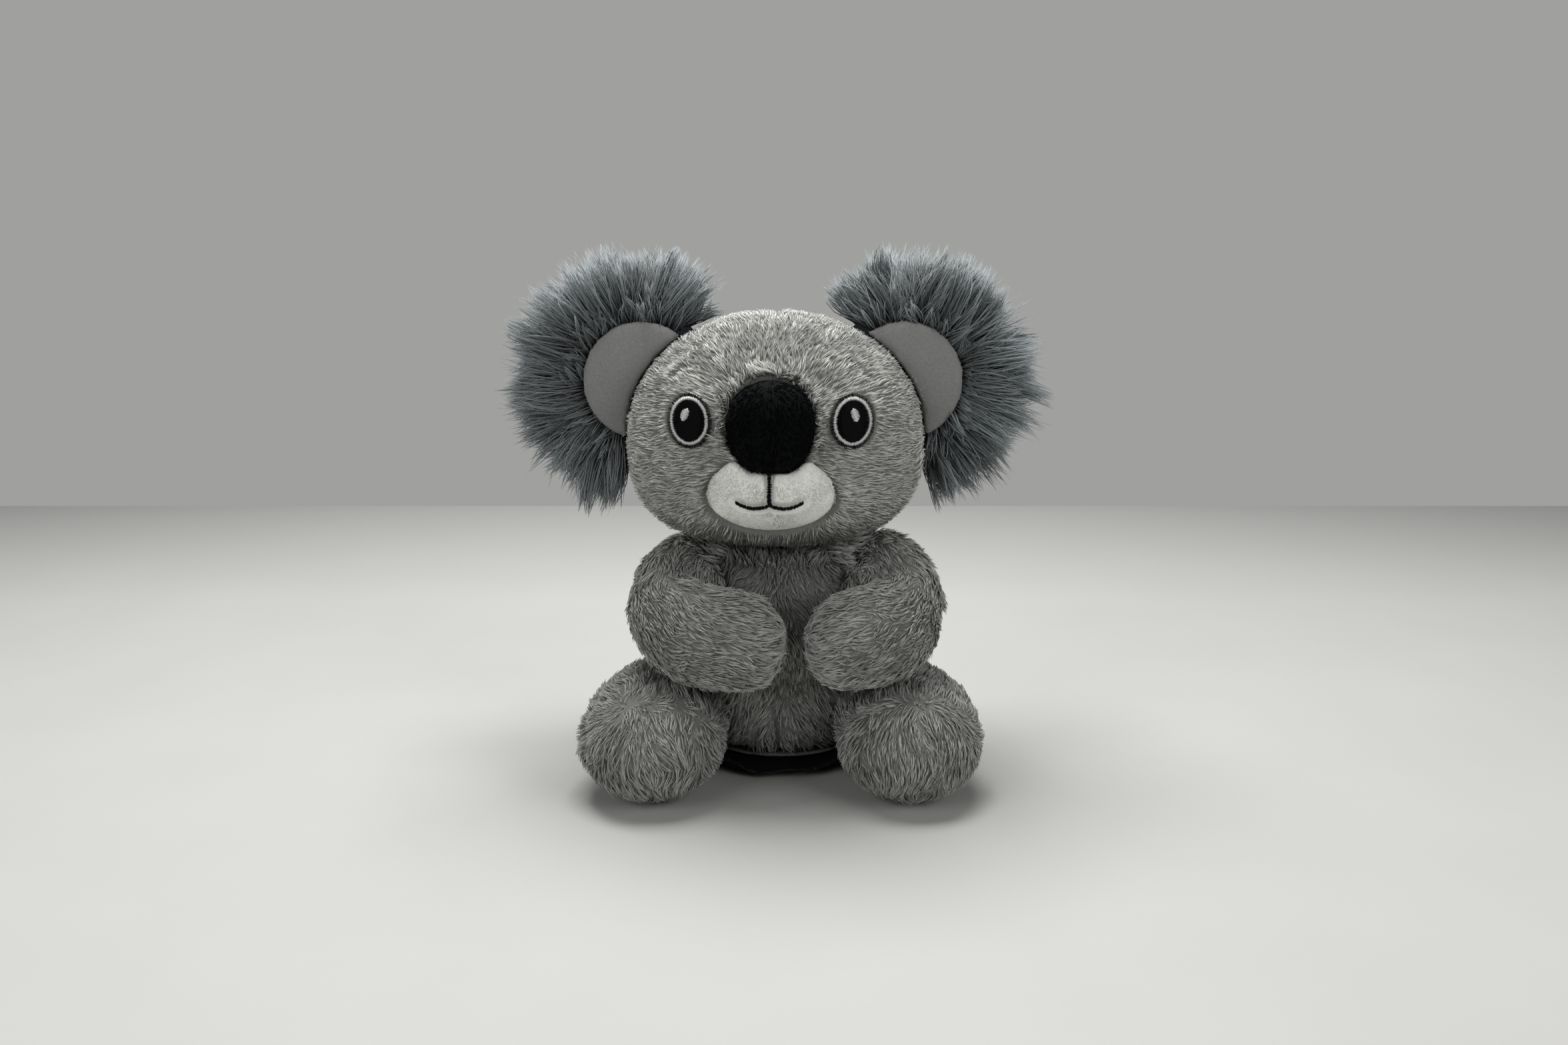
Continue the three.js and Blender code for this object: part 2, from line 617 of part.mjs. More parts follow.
// The ruff: a flat ball of fur whose rim breaks into rounded clumps
function ruff(middle) {
  const [around, stacked] = RUFF_FACETS;
  const geometry = new THREE.SphereGeometry(1, around, stacked).rotateX(-Math.PI / 2);
  const position = geometry.attributes.position;
  for (let i = 0; i < position.count; i += 1) {
    const [x, y, z] = [position.getX(i), position.getY(i), position.getZ(i)];
    const out = Math.hypot(x, y);
    const angle = Math.atan2(y, x);
    const reach = (out ** FUR_FULLNESS + Math.abs(z) ** FUR_FULLNESS) ** (-1 / FUR_FULLNESS);
    const clump = Math.abs(Math.sin((FUR_CLUMPS * angle) / 2)) * out ** 2;
    const parting = FUR_CLUMP_DEPTH * (out - clump);
    position.setXYZ(
      i,
      middle.x + x * reach * (FUR_HALF_WIDTH - parting),
      middle.y + z * reach * (FUR_HALF_DEPTH - parting),
      middle.z + y * reach * (FUR_HALF_HEIGHT - parting),
    );
  }
  return outward(geometry);
}

// A round cushion that lies in the ear's dish, its faces domed
function earPad(middle, radius, front, thickness, dome) {
  const back = front - thickness;
  const profile = [[0, back], [radius, back], [radius, front]];
  for (let step = 1; step < EAR_DOME_FACETS; step += 1) {
    const at = (Math.PI / 2) * (step / EAR_DOME_FACETS);
    profile.push([radius * Math.cos(at), front + dome * Math.sin(at)]);
  }
  profile.push([0, front + dome]);
  const points = profile.map(([out, along]) => new THREE.Vector2(out, along));
  const geometry = new THREE.LatheGeometry(points, EAR_PAD_FACETS).rotateX(Math.PI);
  return outward(geometry.translate(middle.x, middle.y, middle.z));
}

for (const [sideName, side] of [['right', -1], ['left', 1]]) {
  const middle = new THREE.Vector3(
    faceLine + side * (HEAD.halfWidth - EAR_INSET), headMiddle.y + EAR_SET_BACK, neckLevel + EAR_RISE);
  const liningMiddle = middle.clone().add(new THREE.Vector3(-side * LINING_INSET, 0, LINING_RISE));
  const padRadius = LINING_RADIUS - EAR_PAD_MARGIN;
  const padFront = LINING_FRONT - LINING_THICKNESS - FILLING_GAP;
  const dish = earPad(liningMiddle, LINING_RADIUS + SEAM_GAP, FUR_HALF_DEPTH + OVERRUN,
    FUR_HALF_DEPTH + OVERRUN - LINING_FRONT + LINING_THICKNESS + SEAM_GAP, 0);
  const padSpace = earPad(liningMiddle, padRadius + SEAM_GAP, padFront + FILLING_GAP,
    EAR_PAD_THICKNESS + FILLING_GAP + SEAM_GAP, 0);
  addPiece(`${sideName}_ear_fur`, ruff(middle).subtract(headClearance).subtract(dish)
    .subtract(padSpace), furSlate);
  const lining = earPad(liningMiddle, LINING_RADIUS, LINING_FRONT, LINING_THICKNESS, LINING_DOME);
  const filling = earPad(liningMiddle, padRadius, padFront, EAR_PAD_THICKNESS, 0);
  addPiece(`${sideName}_ear_lining`, lining.subtract(headClearance), liningGrey);
  addPiece(`${sideName}_ear_filling`, filling.subtract(padSeat), stuffingWhite);
}

// Limbs: a shell and its filling, both trimmed to follow the torso through the joint's travel
function addLimb(name, makeLimb, spaceTaken) {
  const outside = makeLimb(0, LIMB_FACETS);
  const inside = makeLimb(-PLUSH_THICKNESS, LIMB_INNER_FACETS);
  const filling = makeLimb(-PLUSH_THICKNESS - FILLING_GAP, LIMB_INNER_FACETS);
  addPiece(`${name}_shell`, outside.subtract(inside).subtract(spaceTaken(SEAM_GAP)), plushGrey);
  addPiece(`${name}_filling`, filling.subtract(spaceTaken(SEAM_GAP + FILLING_GAP)), stuffingWhite);
}

const armsOutside = new Map();
const armList = [['right_arm', -1, rightArmPathShares], ['left_arm', 1, leftArmPathShares]];
for (const [name, side, shares] of armList) {
  const shoulder = torsoMiddle.clone().add(new THREE.Vector3(
    SHOULDER_TO_LEFT + side * (TORSO.halfWidth - SHOULDER_INSET), -SHOULDER_FORWARD, SHOULDER_RISE));
  const path = shares.map(([x, y, z]) => (
    shoulder.clone().add(new THREE.Vector3(x, y, z).multiplyScalar(ARM_REACH))));
  const arm = (grow, facets) => (
    limb(path, armSwellShares, ARM_HALF_BREADTH, ARM_HALF_HEIGHT, grow, facets));
  armsOutside.set(side, (grow) => arm(grow, LIMB_FACETS));
  addLimb(name, arm, (gap) => (
    swept(torso(gap, TORSO_FACETS), ACROSS, shoulder, ARM_RAISE_LIMIT, clearanceShares)
      .add(swept(turningHead(gap, HEAD_FACETS), ACROSS, shoulder, ARM_RAISE_LIMIT, clearanceShares))));
}

for (const [name, side] of [['right_leg', -1], ['left_leg', 1]]) {
  const hip = new THREE.Vector3(
    TORSO.toLeft + side * (TORSO.halfWidth - HIP_INSET), -HIP_FORWARD, FOOT_HALF_HEIGHT - FOOT_FLAT_CUT);
  const path = legPathShares.map(([out, forward, up]) => (
    hip.clone().add(new THREE.Vector3(side * out, -forward, up).multiplyScalar(LEG_REACH))));
  addLimb(name,
    (grow, facets) => limb(path, legSwellShares, FOOT_HALF_BREADTH, FOOT_HALF_HEIGHT, grow, facets)
      .subtract(below(-Math.min(grow, 0))),
    (gap) => swept(torso(gap, TORSO_FACETS).add(plateEnvelope(gap)).add(armsOutside.get(side)(gap)), UP, hip,
      -side * LEG_SPLAY_LIMIT, clearanceShares));
}

export default koala;
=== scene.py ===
# A small stuffed koala that sits on a cloth covered steel plate. Lengths are written in
# millimetres and made metres where they meet Blender. The face looks along -Y.
import json
import math

import bpy
import numpy as np
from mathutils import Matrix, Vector, kdtree
from mathutils.bvhtree import BVHTree

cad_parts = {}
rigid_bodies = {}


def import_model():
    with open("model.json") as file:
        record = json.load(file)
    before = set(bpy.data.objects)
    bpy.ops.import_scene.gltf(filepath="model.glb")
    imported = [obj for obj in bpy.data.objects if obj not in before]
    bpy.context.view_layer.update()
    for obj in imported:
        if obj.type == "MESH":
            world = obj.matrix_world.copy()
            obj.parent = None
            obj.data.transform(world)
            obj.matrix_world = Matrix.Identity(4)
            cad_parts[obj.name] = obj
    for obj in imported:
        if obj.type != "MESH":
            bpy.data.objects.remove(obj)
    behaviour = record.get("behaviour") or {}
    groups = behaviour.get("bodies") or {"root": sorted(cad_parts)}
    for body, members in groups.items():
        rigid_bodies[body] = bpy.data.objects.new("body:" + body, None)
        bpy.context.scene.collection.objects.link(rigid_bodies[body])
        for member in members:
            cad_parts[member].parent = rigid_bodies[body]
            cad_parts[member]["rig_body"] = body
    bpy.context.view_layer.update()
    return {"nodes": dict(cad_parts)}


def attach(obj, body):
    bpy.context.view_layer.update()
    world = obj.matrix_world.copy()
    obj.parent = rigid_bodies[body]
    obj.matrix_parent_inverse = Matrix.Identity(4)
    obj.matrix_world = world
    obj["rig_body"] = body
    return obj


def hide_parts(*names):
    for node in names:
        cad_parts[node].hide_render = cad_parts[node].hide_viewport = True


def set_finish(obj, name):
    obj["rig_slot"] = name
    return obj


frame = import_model()
MM = 0.001

# Table, backdrop, lamps and camera
# The toy stands on a pale matt table under a wide soft lamp overhead, with a weak one on each
# side. The table's far end is painted darker, as painted shade, until it runs out into the grey
# of a distant wall.


class Wire:
    """A node's output that takes part in arithmetic as a number does."""

    def __init__(self, finish, socket):
        self.finish = finish
        self.socket = socket

    def maths(self, operation, first, second):
        return self.finish.node("ShaderNodeMath", {"operation": operation}, {0: first, 1: second})

    def __add__(self, other):
        return self.maths("ADD", self, other)

    def __sub__(self, other):
        return self.maths("SUBTRACT", self, other)

    def __rsub__(self, other):
        return self.maths("SUBTRACT", other, self)

    def __mul__(self, other):
        return self.maths("MULTIPLY", self, other)

    def __pow__(self, other):
        return self.maths("POWER", self, other)

    __radd__ = __add__
    __rmul__ = __mul__


class Finish:
    """A material in the making: every node of it comes from the node method."""

    def __init__(self, name, **constants):
        self.material = bpy.data.materials.new(name)
        self.material.use_nodes = True
        self.tree = self.material.node_tree
        self.shader = self.tree.nodes["Principled BSDF"]
        self.fill(self.shader, {key.replace("_", " "): value for key, value in constants.items()})

    def fill(self, node, sockets):
        for key, value in sockets.items():
            if isinstance(value, Wire):
                self.tree.links.new(value.socket, node.inputs[key])
            else:
                node.inputs[key].default_value = value

    def node(self, kind, settings, sockets, output=0, stops=()):
        made = self.tree.nodes.new(kind)
        for key, value in settings.items():
            setattr(made, key, value)
        for count, (place, colour) in enumerate(stops):
            ramp = made.color_ramp.elements
            stop = ramp[count] if count < len(ramp) else ramp.new(place)
            stop.position, stop.color = place, colour
        self.fill(made, sockets)
        return Wire(self, made.outputs[output])

    def mix(self, factor, first, second):
        return self.node("ShaderNodeMix", {"data_type": "RGBA"}, {0: factor, 6: first, 7: second}, 2)

    def place(self):
        return self.node("ShaderNodeTexCoord", {}, {}, "Object")

    def noise(self, size, detail=2, stretch=(1, 1, 1)):
        """Cloudy noise over the piece, its lumps about size millimetres across."""
        where = self.node("ShaderNodeMapping", {}, {"Vector": self.place(), "Scale": stretch})
        scale = 1 / (size * MM)
        return self.node("ShaderNodeTexNoise", {}, {"Vector": where, "Scale": scale, "Detail": detail})

    def weave(self, scale):
        """The threads that run across a woven cloth, and those that run down it."""
        return [
            self.node("ShaderNodeTexWave", {"bands_direction": way}, {"Vector": self.place(), "Scale": scale})
            for way in "XY"
        ]

    def ramp(self, factor, *stops):
        return self.node("ShaderNodeValToRGB", {}, {"Fac": factor}, 0, stops)

    def bump(self, height, depth):
        """Relief that is depth millimetres deep."""
        normal = self.node("ShaderNodeBump", {}, {"Height": height, "Strength": 1, "Distance": depth * MM})
        self.fill(self.shader, {"Normal": normal})

    def surface(self, **sockets):
        self.fill(self.shader, {key.replace("_", " "): value for key, value in sockets.items()})
        return self.material


def paint(red, green, blue):
    """A screen colour from 0 to 255 as the linear colour that a shader takes."""
    shares = (red / 255, green / 255, blue / 255)
    return (*[((v + 0.055) / 1.055) ** 2.4 if v > 0.04045 else v / 12.92 for v in shares], 1)


bpy.ops.mesh.primitive_plane_add(size=1.7, location=(0, -0.45, 0))
table = bpy.context.object
table.name = "table"
finish = Finish("pale_table", Roughness=0.7)
grain = finish.noise(60, 4)
paper = finish.mix(grain, paint(174, 174, 171), paint(168, 168, 165))
# The far end of the table is painted darker, as painted shade, to meet the wall's grey.
depth = finish.node("ShaderNodeSeparateXYZ", {}, {"Vector": finish.place()}, "Y")
far_end_shade = finish.node("ShaderNodeMapRange", {}, {"Value": depth, "From Min": 0.63, "From Max": 0.85})
table.data.materials.append(finish.surface(Base_Color=finish.mix(far_end_shade, paper, paint(146, 146, 144))))

world = bpy.data.worlds.new("studio")
bpy.context.scene.world = world
world.use_nodes = True
sky = world.node_tree
background = sky.nodes["Background"]
background.inputs["Strength"].default_value = 0.55
wall = sky.nodes.new("ShaderNodeBackground")
wall.inputs["Color"].default_value = paint(160, 160, 158)
rays = sky.nodes.new("ShaderNodeLightPath")
seen = rays.outputs["Is Camera Ray"]
for kind in ("Is Glossy Ray", "Is Transmission Ray"):
    either = sky.nodes.new("ShaderNodeMath")
    either.operation = "MAXIMUM"
    sky.links.new(seen, either.inputs[0])
    sky.links.new(rays.outputs[kind], either.inputs[1])
    seen = either.outputs[0]
choice = sky.nodes.new("ShaderNodeMixShader")
sky.links.new(seen, choice.inputs[0])
sky.links.new(background.outputs[0], choice.inputs[1])
sky.links.new(wall.outputs[0], choice.inputs[2])
sky.links.new(choice.outputs[0], sky.nodes["World Output"].inputs["Surface"])

LAMP_SIZE = 0.5
LAMPS_AIM = Vector((0, 0, 0.08))
for name, place, power in (
    ("overhead", (-0.05, 0.14, 0.8), 11.0),
    ("right_side", (-0.6, -0.6, 0.5), 3.0),
    ("left_side", (0.65, -0.55, 0.5), 3.5),
):
    bpy.ops.object.light_add(type="AREA", location=place)
    lamp = bpy.context.object
    lamp.name = name
    lamp.data.size = LAMP_SIZE
    lamp.data.energy = power
    lamp.rotation_euler = (LAMPS_AIM - lamp.location).to_track_quat("-Z", "Y").to_euler()

bpy.ops.object.camera_add(location=(0.0018, -0.3946, 0.1721), rotation=(math.radians(77), 0, 0))
camera = bpy.context.object
camera.data.lens = 28
camera.data.clip_start = 0.01
bpy.context.scene.camera = camera
bpy.context.scene.view_settings.view_transform = "Standard"

# Plate
# A thin steel sheet slips into a flat pouch of black cloth, through a mouth at its back. The
# pouch's seam stands out all round as a thin rim that ripples at the front.


STUFFING_PRESSURE = 4
STUFFING_FRAMES = 20
RIM_HALF_WIDTH = 31
RIM_HALF_DEPTH = 24.5
RIM_WAVE = 1.1


def apply_modifier(piece, kind, **settings):
    modifier = piece.modifiers.new(kind.lower(), kind)
    for key, value in settings.items():
        setattr(modifier, key, value)
    bpy.context.view_layer.objects.active = piece
    bpy.ops.object.modifier_apply(modifier=modifier.name)


def points_of(piece):
    points = np.empty(len(piece.data.vertices) * 3)
    piece.data.vertices.foreach_get("co", points)
    return points.reshape(-1, 3)


def normals_of(piece):
    normals = np.empty(len(piece.data.vertices) * 3)
    piece.data.vertices.foreach_get("normal", normals)
    return normals.reshape(-1, 3)


def puff(piece, most, seams):
    """Blows the piece up like a stuffed bag, its seams held and no point moved past the cap."""
    before = points_of(piece)
    held = piece.vertex_groups.new(name="seams")
    weights = seams(before / MM) if seams else np.zeros(len(before))
    for index in np.nonzero(weights > 0)[0]:
        held.add([int(index)], float(weights[index]), "REPLACE")
    cloth = piece.modifiers.new("stuffing", "CLOTH")
    cloth.settings.use_pressure = True
    cloth.settings.uniform_pressure_force = STUFFING_PRESSURE
    cloth.settings.effector_weights.gravity = 0
    cloth.settings.vertex_group_mass = "seams"
    cloth.point_cache.frame_start = 1
    cloth.point_cache.frame_end = STUFFING_FRAMES
    for step in range(1, STUFFING_FRAMES + 1):
        bpy.context.scene.frame_set(step)
    bpy.context.view_layer.objects.active = piece
    bpy.ops.object.modifier_apply(modifier="stuffing")
    bpy.context.scene.frame_set(1)
    after = points_of(piece)
    move = after - before
    far = np.linalg.norm(move, axis=1, keepdims=True)
    move *= np.minimum(1, most * MM / np.maximum(far, 1e-9)) * (1 - weights[:, None])
    piece.data.vertices.foreach_set("co", (before + move).ravel())
    piece.vertex_groups.clear()


def crease(piece, gaps, depth, half):
    """Draws the piece in along a seam, half being half the seam's width. A depth below nothing
    raises it."""
    points = points_of(piece)
    push = depth * MM * np.clip(1 - (gaps(points / MM) / half) ** 2, 0, 1) ** 2
    piece.data.vertices.foreach_set("co", (points - normals_of(piece) * push[:, None]).ravel())
    piece.data.update()


def stuffed_skin(name, nodes, body, slot, voxel, sink, swell=0, seams=None, smooth=6, rounds=1,
                 creases=(), plugs=(), wads=()):
    """A closed skin round CAD nodes, sunk to leave room for its pile, then puffed up and creased.
    plugs are nodes that fill the skin's pockets, and wads are balls of stuffing that fill it
    out. voxel is how fine the skin is made, and rounds how often it is halved after that."""
    parts = [bpy.data.objects.new(name, frame["nodes"][node].data.copy()) for node in [*nodes, *plugs]]
    for part in parts:
        bpy.context.scene.collection.objects.link(part)
    for *centre, radius in wads:
        centre = Vector(centre) * MM
        bpy.ops.mesh.primitive_ico_sphere_add(subdivisions=3, radius=radius * MM, location=centre)
        parts.append(bpy.context.object)
    bpy.ops.object.select_all(action="DESELECT")
    for part in parts:
        part.select_set(True)
    skin = parts[0]
    bpy.context.view_layer.objects.active = skin
    if len(parts) > 1:
        bpy.ops.object.join()
    skin.data.materials.clear()
    bpy.ops.object.mode_set(mode="EDIT")
    bpy.ops.mesh.select_all(action="SELECT")
    bpy.ops.mesh.remove_doubles(threshold=1e-6)
    bpy.ops.object.mode_set(mode="OBJECT")
    apply_modifier(skin, "REMESH", mode="VOXEL", voxel_size=voxel * MM)
    apply_modifier(skin, "SMOOTH", factor=0.5, iterations=smooth)
    if sink:
        apply_modifier(skin, "DISPLACE", strength=-sink * MM, mid_level=0)
    if swell:
        puff(skin, swell, seams)
    if rounds:
        apply_modifier(skin, "SUBSURF", levels=rounds, render_levels=rounds)
    for seam in creases:
        crease(skin, *seam)
    bpy.ops.object.shade_smooth()
    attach(skin, body)
    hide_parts(*nodes)
    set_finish(skin, slot)
    return skin


plate = stuffed_skin("plate_pouch", ["plate_cover"], "plate", "pad_cloth", 0.75, 0, smooth=2)
rim = points_of(plate) / MM
out = np.hypot(rim[:, 0] / RIM_HALF_WIDTH, rim[:, 1] / RIM_HALF_DEPTH)
loose = np.clip(out * 7 - 6, 0, 1) * (rim[:, 1] < -5)
rim[:, 2] = np.maximum(rim[:, 2] + RIM_WAVE * loose * np.sin(0.3 * rim[:, 0] + 0.9), 0.05)
plate.data.vertices.foreach_set("co", (rim * MM).ravel())
finish = Finish("black_pad_cloth", Roughness=0.6, Specular_IOR_Level=0.15)
across, down = finish.weave(350)
finish.bump(across + down, 0.05)
plate.data.materials.append(finish.surface(
    Base_Color=finish.mix(finish.noise(9), paint(7, 8, 10), paint(17, 18, 21))))


def refinish(node, material):
    """Gives a node that shows just as it was cut its own material."""
    shown = frame["nodes"][node]
    shown.data.materials.clear()
    shown.data.materials.append(material)


finish = Finish("plated_sheet", Metallic=1)
brushing = finish.noise(2, 3, (0.04, 1, 1))
finish.bump(brushing, 0.02)
refinish("steel_plate", finish.surface(
    Base_Color=finish.mix(brushing, paint(170, 173, 178), paint(200, 202, 205)),
    Roughness=brushing * 0.25 + 0.25))

# Seat
# Two nickel plated disc magnets lie in a lining cloth pouch inside the seat, and a round patch
# of plush closes the seat under them.

finish = Finish("nickel_plating", Metallic=1)
haze = finish.noise(3, 4)
nickel = finish.surface(
    Base_Color=finish.mix(haze, paint(196, 197, 198), paint(214, 214, 213)),
    Roughness=haze * 0.2 + 0.12)
for side in ("right", "left"):
    refinish(f"{side}_magnet", nickel)

pouch = stuffed_skin("magnet_cloth_pouch", ["magnet_pouch"], "torso", "pouch_cloth", 0.6, 0, smooth=2,
                     rounds=0)
finish = Finish("lining_cloth", Roughness=0.9)
across, down = finish.weave(400)
finish.bump(across + down, 0.06)
pouch.data.materials.append(finish.surface(
    Base_Color=finish.mix(across * down, paint(205, 204, 199), paint(228, 227, 222))))

patch = stuffed_skin("seat_patch", ["base_patch"], "torso", "grey_plush", 0.5, 0, smooth=2,
                     rounds=0)

# Plush
# One grey plush makes the torso, limbs and head: a knitted back, and a pile of fine fibres
# that stand in locks and lie the way they were combed. They are paler at their tips and darker
# at their roots, partly their own colour and partly painted shade deep in the pile.

# The share of each pile's fibres that is grown, to keep the whole toy near two million
# triangles. The fibres are wider to make up for it.
PILE_SHARE = 0.87
BURIED_ROOT = 0.35


def unit(vectors):
    return vectors / np.maximum(np.linalg.norm(vectors, axis=1, keepdims=True), 1e-9)


def waves(points, size, rng):
    """A smooth field of vectors, its swirls about size millimetres across."""
    total = np.zeros((len(points), 3))
    for _ in range(7):  # enough waves that the field shows no grain
        rate = rng.normal(size=3)
        rate *= 2 * math.pi * rng.uniform(0.6, 1.4) / size / np.linalg.norm(rate)
        total += np.sin(points @ rate + rng.uniform(0, 6.28))[:, None] * rng.normal(size=3)
    return total / 3


def scatter(skin, per_mm2, rng):
    """Points spread evenly over a skin, in millimetres, and the way out at each."""
    mesh = skin.data
    mesh.calc_loop_triangles()
    corner = np.empty(len(mesh.loop_triangles) * 3, np.int32)
    mesh.loop_triangles.foreach_get("vertices", corner)
    corner = corner.reshape(-1, 3)
    points, normals = points_of(skin) / MM, normals_of(skin)
    a, b, c = (points[corner[:, i]] for i in range(3))
    total = np.cumsum(np.linalg.norm(np.cross(b - a, c - a), axis=1) / 2)
    count = int(total[-1] * per_mm2)
    face = np.searchsorted(total, (np.arange(count) + rng.random(count)) / count * total[-1])
    face = np.minimum(face, len(corner) - 1)
    one, two = np.sqrt(rng.random(count)), rng.random(count)
    share = np.stack([1 - one, one * (1 - two), one * two], 1)[:, :, None]
    return (points[corner[face]] * share).sum(1), unit((normals[corner[face]] * share).sum(1))


def gathered(roots, tips, long, locks, throw, per_mm2, rng):
    """How far the tip of each fibre leans over to its locks, and how much paler the locks are."""
    count = len(roots)
    lean, paler = np.zeros((count, 3)), np.zeros(count)
    for spacing, pull in locks:
        leaders = rng.permutation(count)[:max(1, int(count / max(1, spacing ** 2 * per_mm2)))]
        tree = kdtree.KDTree(len(leaders))
        for index, leader in enumerate(leaders):
            tree.insert(roots[leader], index)
        tree.balance()
        near = leaders[[tree.find(root)[1] for root in roots]]
        lean += pull * (tips[near] - tips)
        lean += throw * long * rng.normal(size=(count, 3))[near]
        paler += 0.15 * rng.normal(size=count)[near]
    most = 0.8 * long / np.maximum(np.linalg.norm(lean, axis=1, keepdims=True), 1e-9)
    return lean * np.minimum(1, most), paler


def fibre_mesh(name, spikes, rings, along, shade):
    """Closed spikes of three sides, charted by each one's shade and the way along it."""
    faces = [(1, 2, 0)]
    for low in range(0, 3 * rings, 3):
        for left, right in ((1, 2), (2, 0), (0, 1)):
            faces.append((low + left, low + left + 3, low + right + 3))
            faces.append((low + left, low + right + 3, low + right))
    top = 3 * rings
    faces += [(top + 1, top + 3, top + 2), (top + 2, top + 3, top), (top, top + 3, top + 1)]
    faces = np.array(faces)
    count, each = spikes.shape[:2]
    indices = (np.arange(count)[:, None, None] * each + faces).astype(np.int32)
    fibre = bpy.data.meshes.new(name)
    fibre.vertices.add(count * each)
    fibre.vertices.foreach_set("co", (spikes * MM).astype(np.float32).ravel())
    fibre.loops.add(indices.size)
    fibre.loops.foreach_set("vertex_index", indices.ravel())
    fibre.polygons.add(indices.size // 3)
    fibre.polygons.foreach_set("loop_start", np.arange(0, indices.size, 3, dtype=np.int32))
    fibre.polygons.foreach_set("use_smooth", np.ones(indices.size // 3, bool))
    level = np.append(np.repeat(along[:-1], 3), 1.0) * 0.96 + 0.02
    offset = np.array([-0.004, 0.004, 0.0] * (rings + 1) + [0.0])
    u = (np.clip(shade, 0.03, 0.97)[:, None, None] + offset[faces][None]).ravel()
    v = np.broadcast_to(level[faces][None], (count, *faces.shape)).ravel()
    chart = fibre.uv_layers.new(name="OFBake")
    chart.data.foreach_set("uv", np.stack([u, v], 1).astype(np.float32).ravel())
    fibre.update(calc_edges=True)
    return fibre


def pile(name, skin, material, seed, per_mm2, length, width, lie, lift=(0.6, 0.16),
         locks=((3.6, 0.4), (1.3, 0.4)), wander=0.3, throw=0.0, reach=None, rings=0,
         bare=None, shy=None, guard=None, tone=None):
    """Grows fibres on a skin, rooted in it, combed and gathered into locks.

    lie is the way they are combed, and lift how far they stand off it, at the root and at the
    tip. locks gives the spacing and pull of each size of lock, wander how far the combing
    strays, and throw how far each lock goes its own way. reach is the length where it varies
    from place to place, and rings how often a fibre bends. Fibres have no root where bare says
    so, keep their tips out of what shy names, and are moved by guard. The last argument is
    painted shading: how much darker the fibres are painted where shade falls into the pile, and
    painted light that makes them paler where it is below nothing.
    """
    rng = np.random.default_rng(seed)
    per_mm2 *= PILE_SHARE
    width /= PILE_SHARE ** 0.5
    roots, up = scatter(skin, per_mm2, rng)
    if bare is not None:
        keep = ~bare(roots)
        roots, up = roots[keep], up[keep]
    way = lie(roots, up) + wander * waves(roots, 16, rng) + 0.5 * wander * waves(roots, 5, rng)
    way = unit(way - up * (way * up).sum(1, keepdims=True))
    long = length if reach is None else reach(roots)
    long = long * (1 + 0.12 * waves(roots, 9, rng)[:, :1]) * rng.uniform(0.8, 1.1, (len(roots), 1))
    first, last = unit(way + up * lift[0]), unit(way + up * lift[1])
    if shy is not None:
        for _ in range(4):
            long = np.where(shy(roots + last * long)[:, None], long * 0.68, long)
        keep = ~shy(roots + last * long)
        roots, up, way, long, first, last = (each[keep] for each in (roots, up, way, long, first, last))
    count = len(roots)
    shade = 0.62 + 0.1 * rng.normal(size=count) + 0.1 * waves(roots, 14, rng)[:, 0]
    # Painted shade is taken off each fibre's own shade here, and painted light is added where the painted
    # shading is below nothing.
    if tone is not None:
        shade -= tone(roots)
    lean, paler = gathered(roots, roots + last * long, long, locks, throw, per_mm2, rng)
    steps = rings + 1
    side = unit(np.cross(way, up))
    bend = rng.normal(size=(count, 3)) * 0.05 * long
    centre = roots - up * BURIED_ROOT
    spikes = []
    along = np.linspace(0, 1, steps + 1) ** (0.65 if rings > 1 else 1)
    for step, at in enumerate(along):
        if step:
            centre = centre + unit(first * (1 - at) + last * at) * long * (at - along[step - 1])
        place = centre + lean * at ** 1.5 + bend * at * (1 - at) * 4
        if guard is not None and step:
            place = guard(place)
        if step == steps:
            spikes.append(place[:, None])
        else:
            half = width / 2 * (1 - at * 0.45)
            ridge = unit(np.cross(side, first * (1 - at) + last * at))
            corners = [place - side * half, place + side * half, place + ridge * half * 1.4]
            spikes.append(np.stack(corners, 1))
    fibre = fibre_mesh(name, np.concatenate(spikes, 1), rings, along, shade + paler)
    fibre.materials.append(material)
    grown = bpy.data.objects.new(name, fibre)
    bpy.context.scene.collection.objects.link(grown)
    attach(grown, skin["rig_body"])
    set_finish(grown, skin["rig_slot"])


def pile_finish(name, root, middle, tip, spread, **constants):
    """Fibres that go from their root's colour to their tip's, each a shade of its own. The darker
    roots are partly the fibres' own colour and partly painted shade deep in the pile.
    """
    made = Finish(name, **constants)
    chart = made.node("ShaderNodeUVMap", {"uv_map": "OFBake"}, {})
    own = made.node("ShaderNodeSeparateXYZ", {}, {"Vector": chart}, "X")
    along = made.node("ShaderNodeSeparateXYZ", {}, {"Vector": chart}, "Y")
    length = made.ramp(along, (0, root), (0.5, middle), (1, tip))
    dark = made.mix(1 - spread, (0, 0, 0, 1), length)
    return made.surface(Base_Color=made.mix(own, dark, length))


def knit_finish(name, dark, light):
    """The knitted back that shows between the fibres."""
    made = Finish(name, Roughness=0.95, Specular_IOR_Level=0.1)
    loops = made.noise(0.8, 3)
    made.bump(loops, 0.15)
    return made.surface(Base_Color=made.mix(loops, dark, light))


grey_pile = pile_finish("grey_pile", paint(90, 90, 87), paint(163, 163, 158), paint(224, 224, 218),
                        0.6, Roughness=0.8, Specular_IOR_Level=0.2, Sheen_Weight=0.4)
short_pile = pile_finish("short_pile", paint(156, 156, 152), paint(211, 211, 206), paint(248, 248, 242),
                         0.75, Roughness=0.85, Specular_IOR_Level=0.1, Sheen_Weight=0.1)
grey_knit = knit_finish("grey_knit", paint(90, 90, 87), paint(124, 124, 120))
patch.data.materials.append(grey_knit)


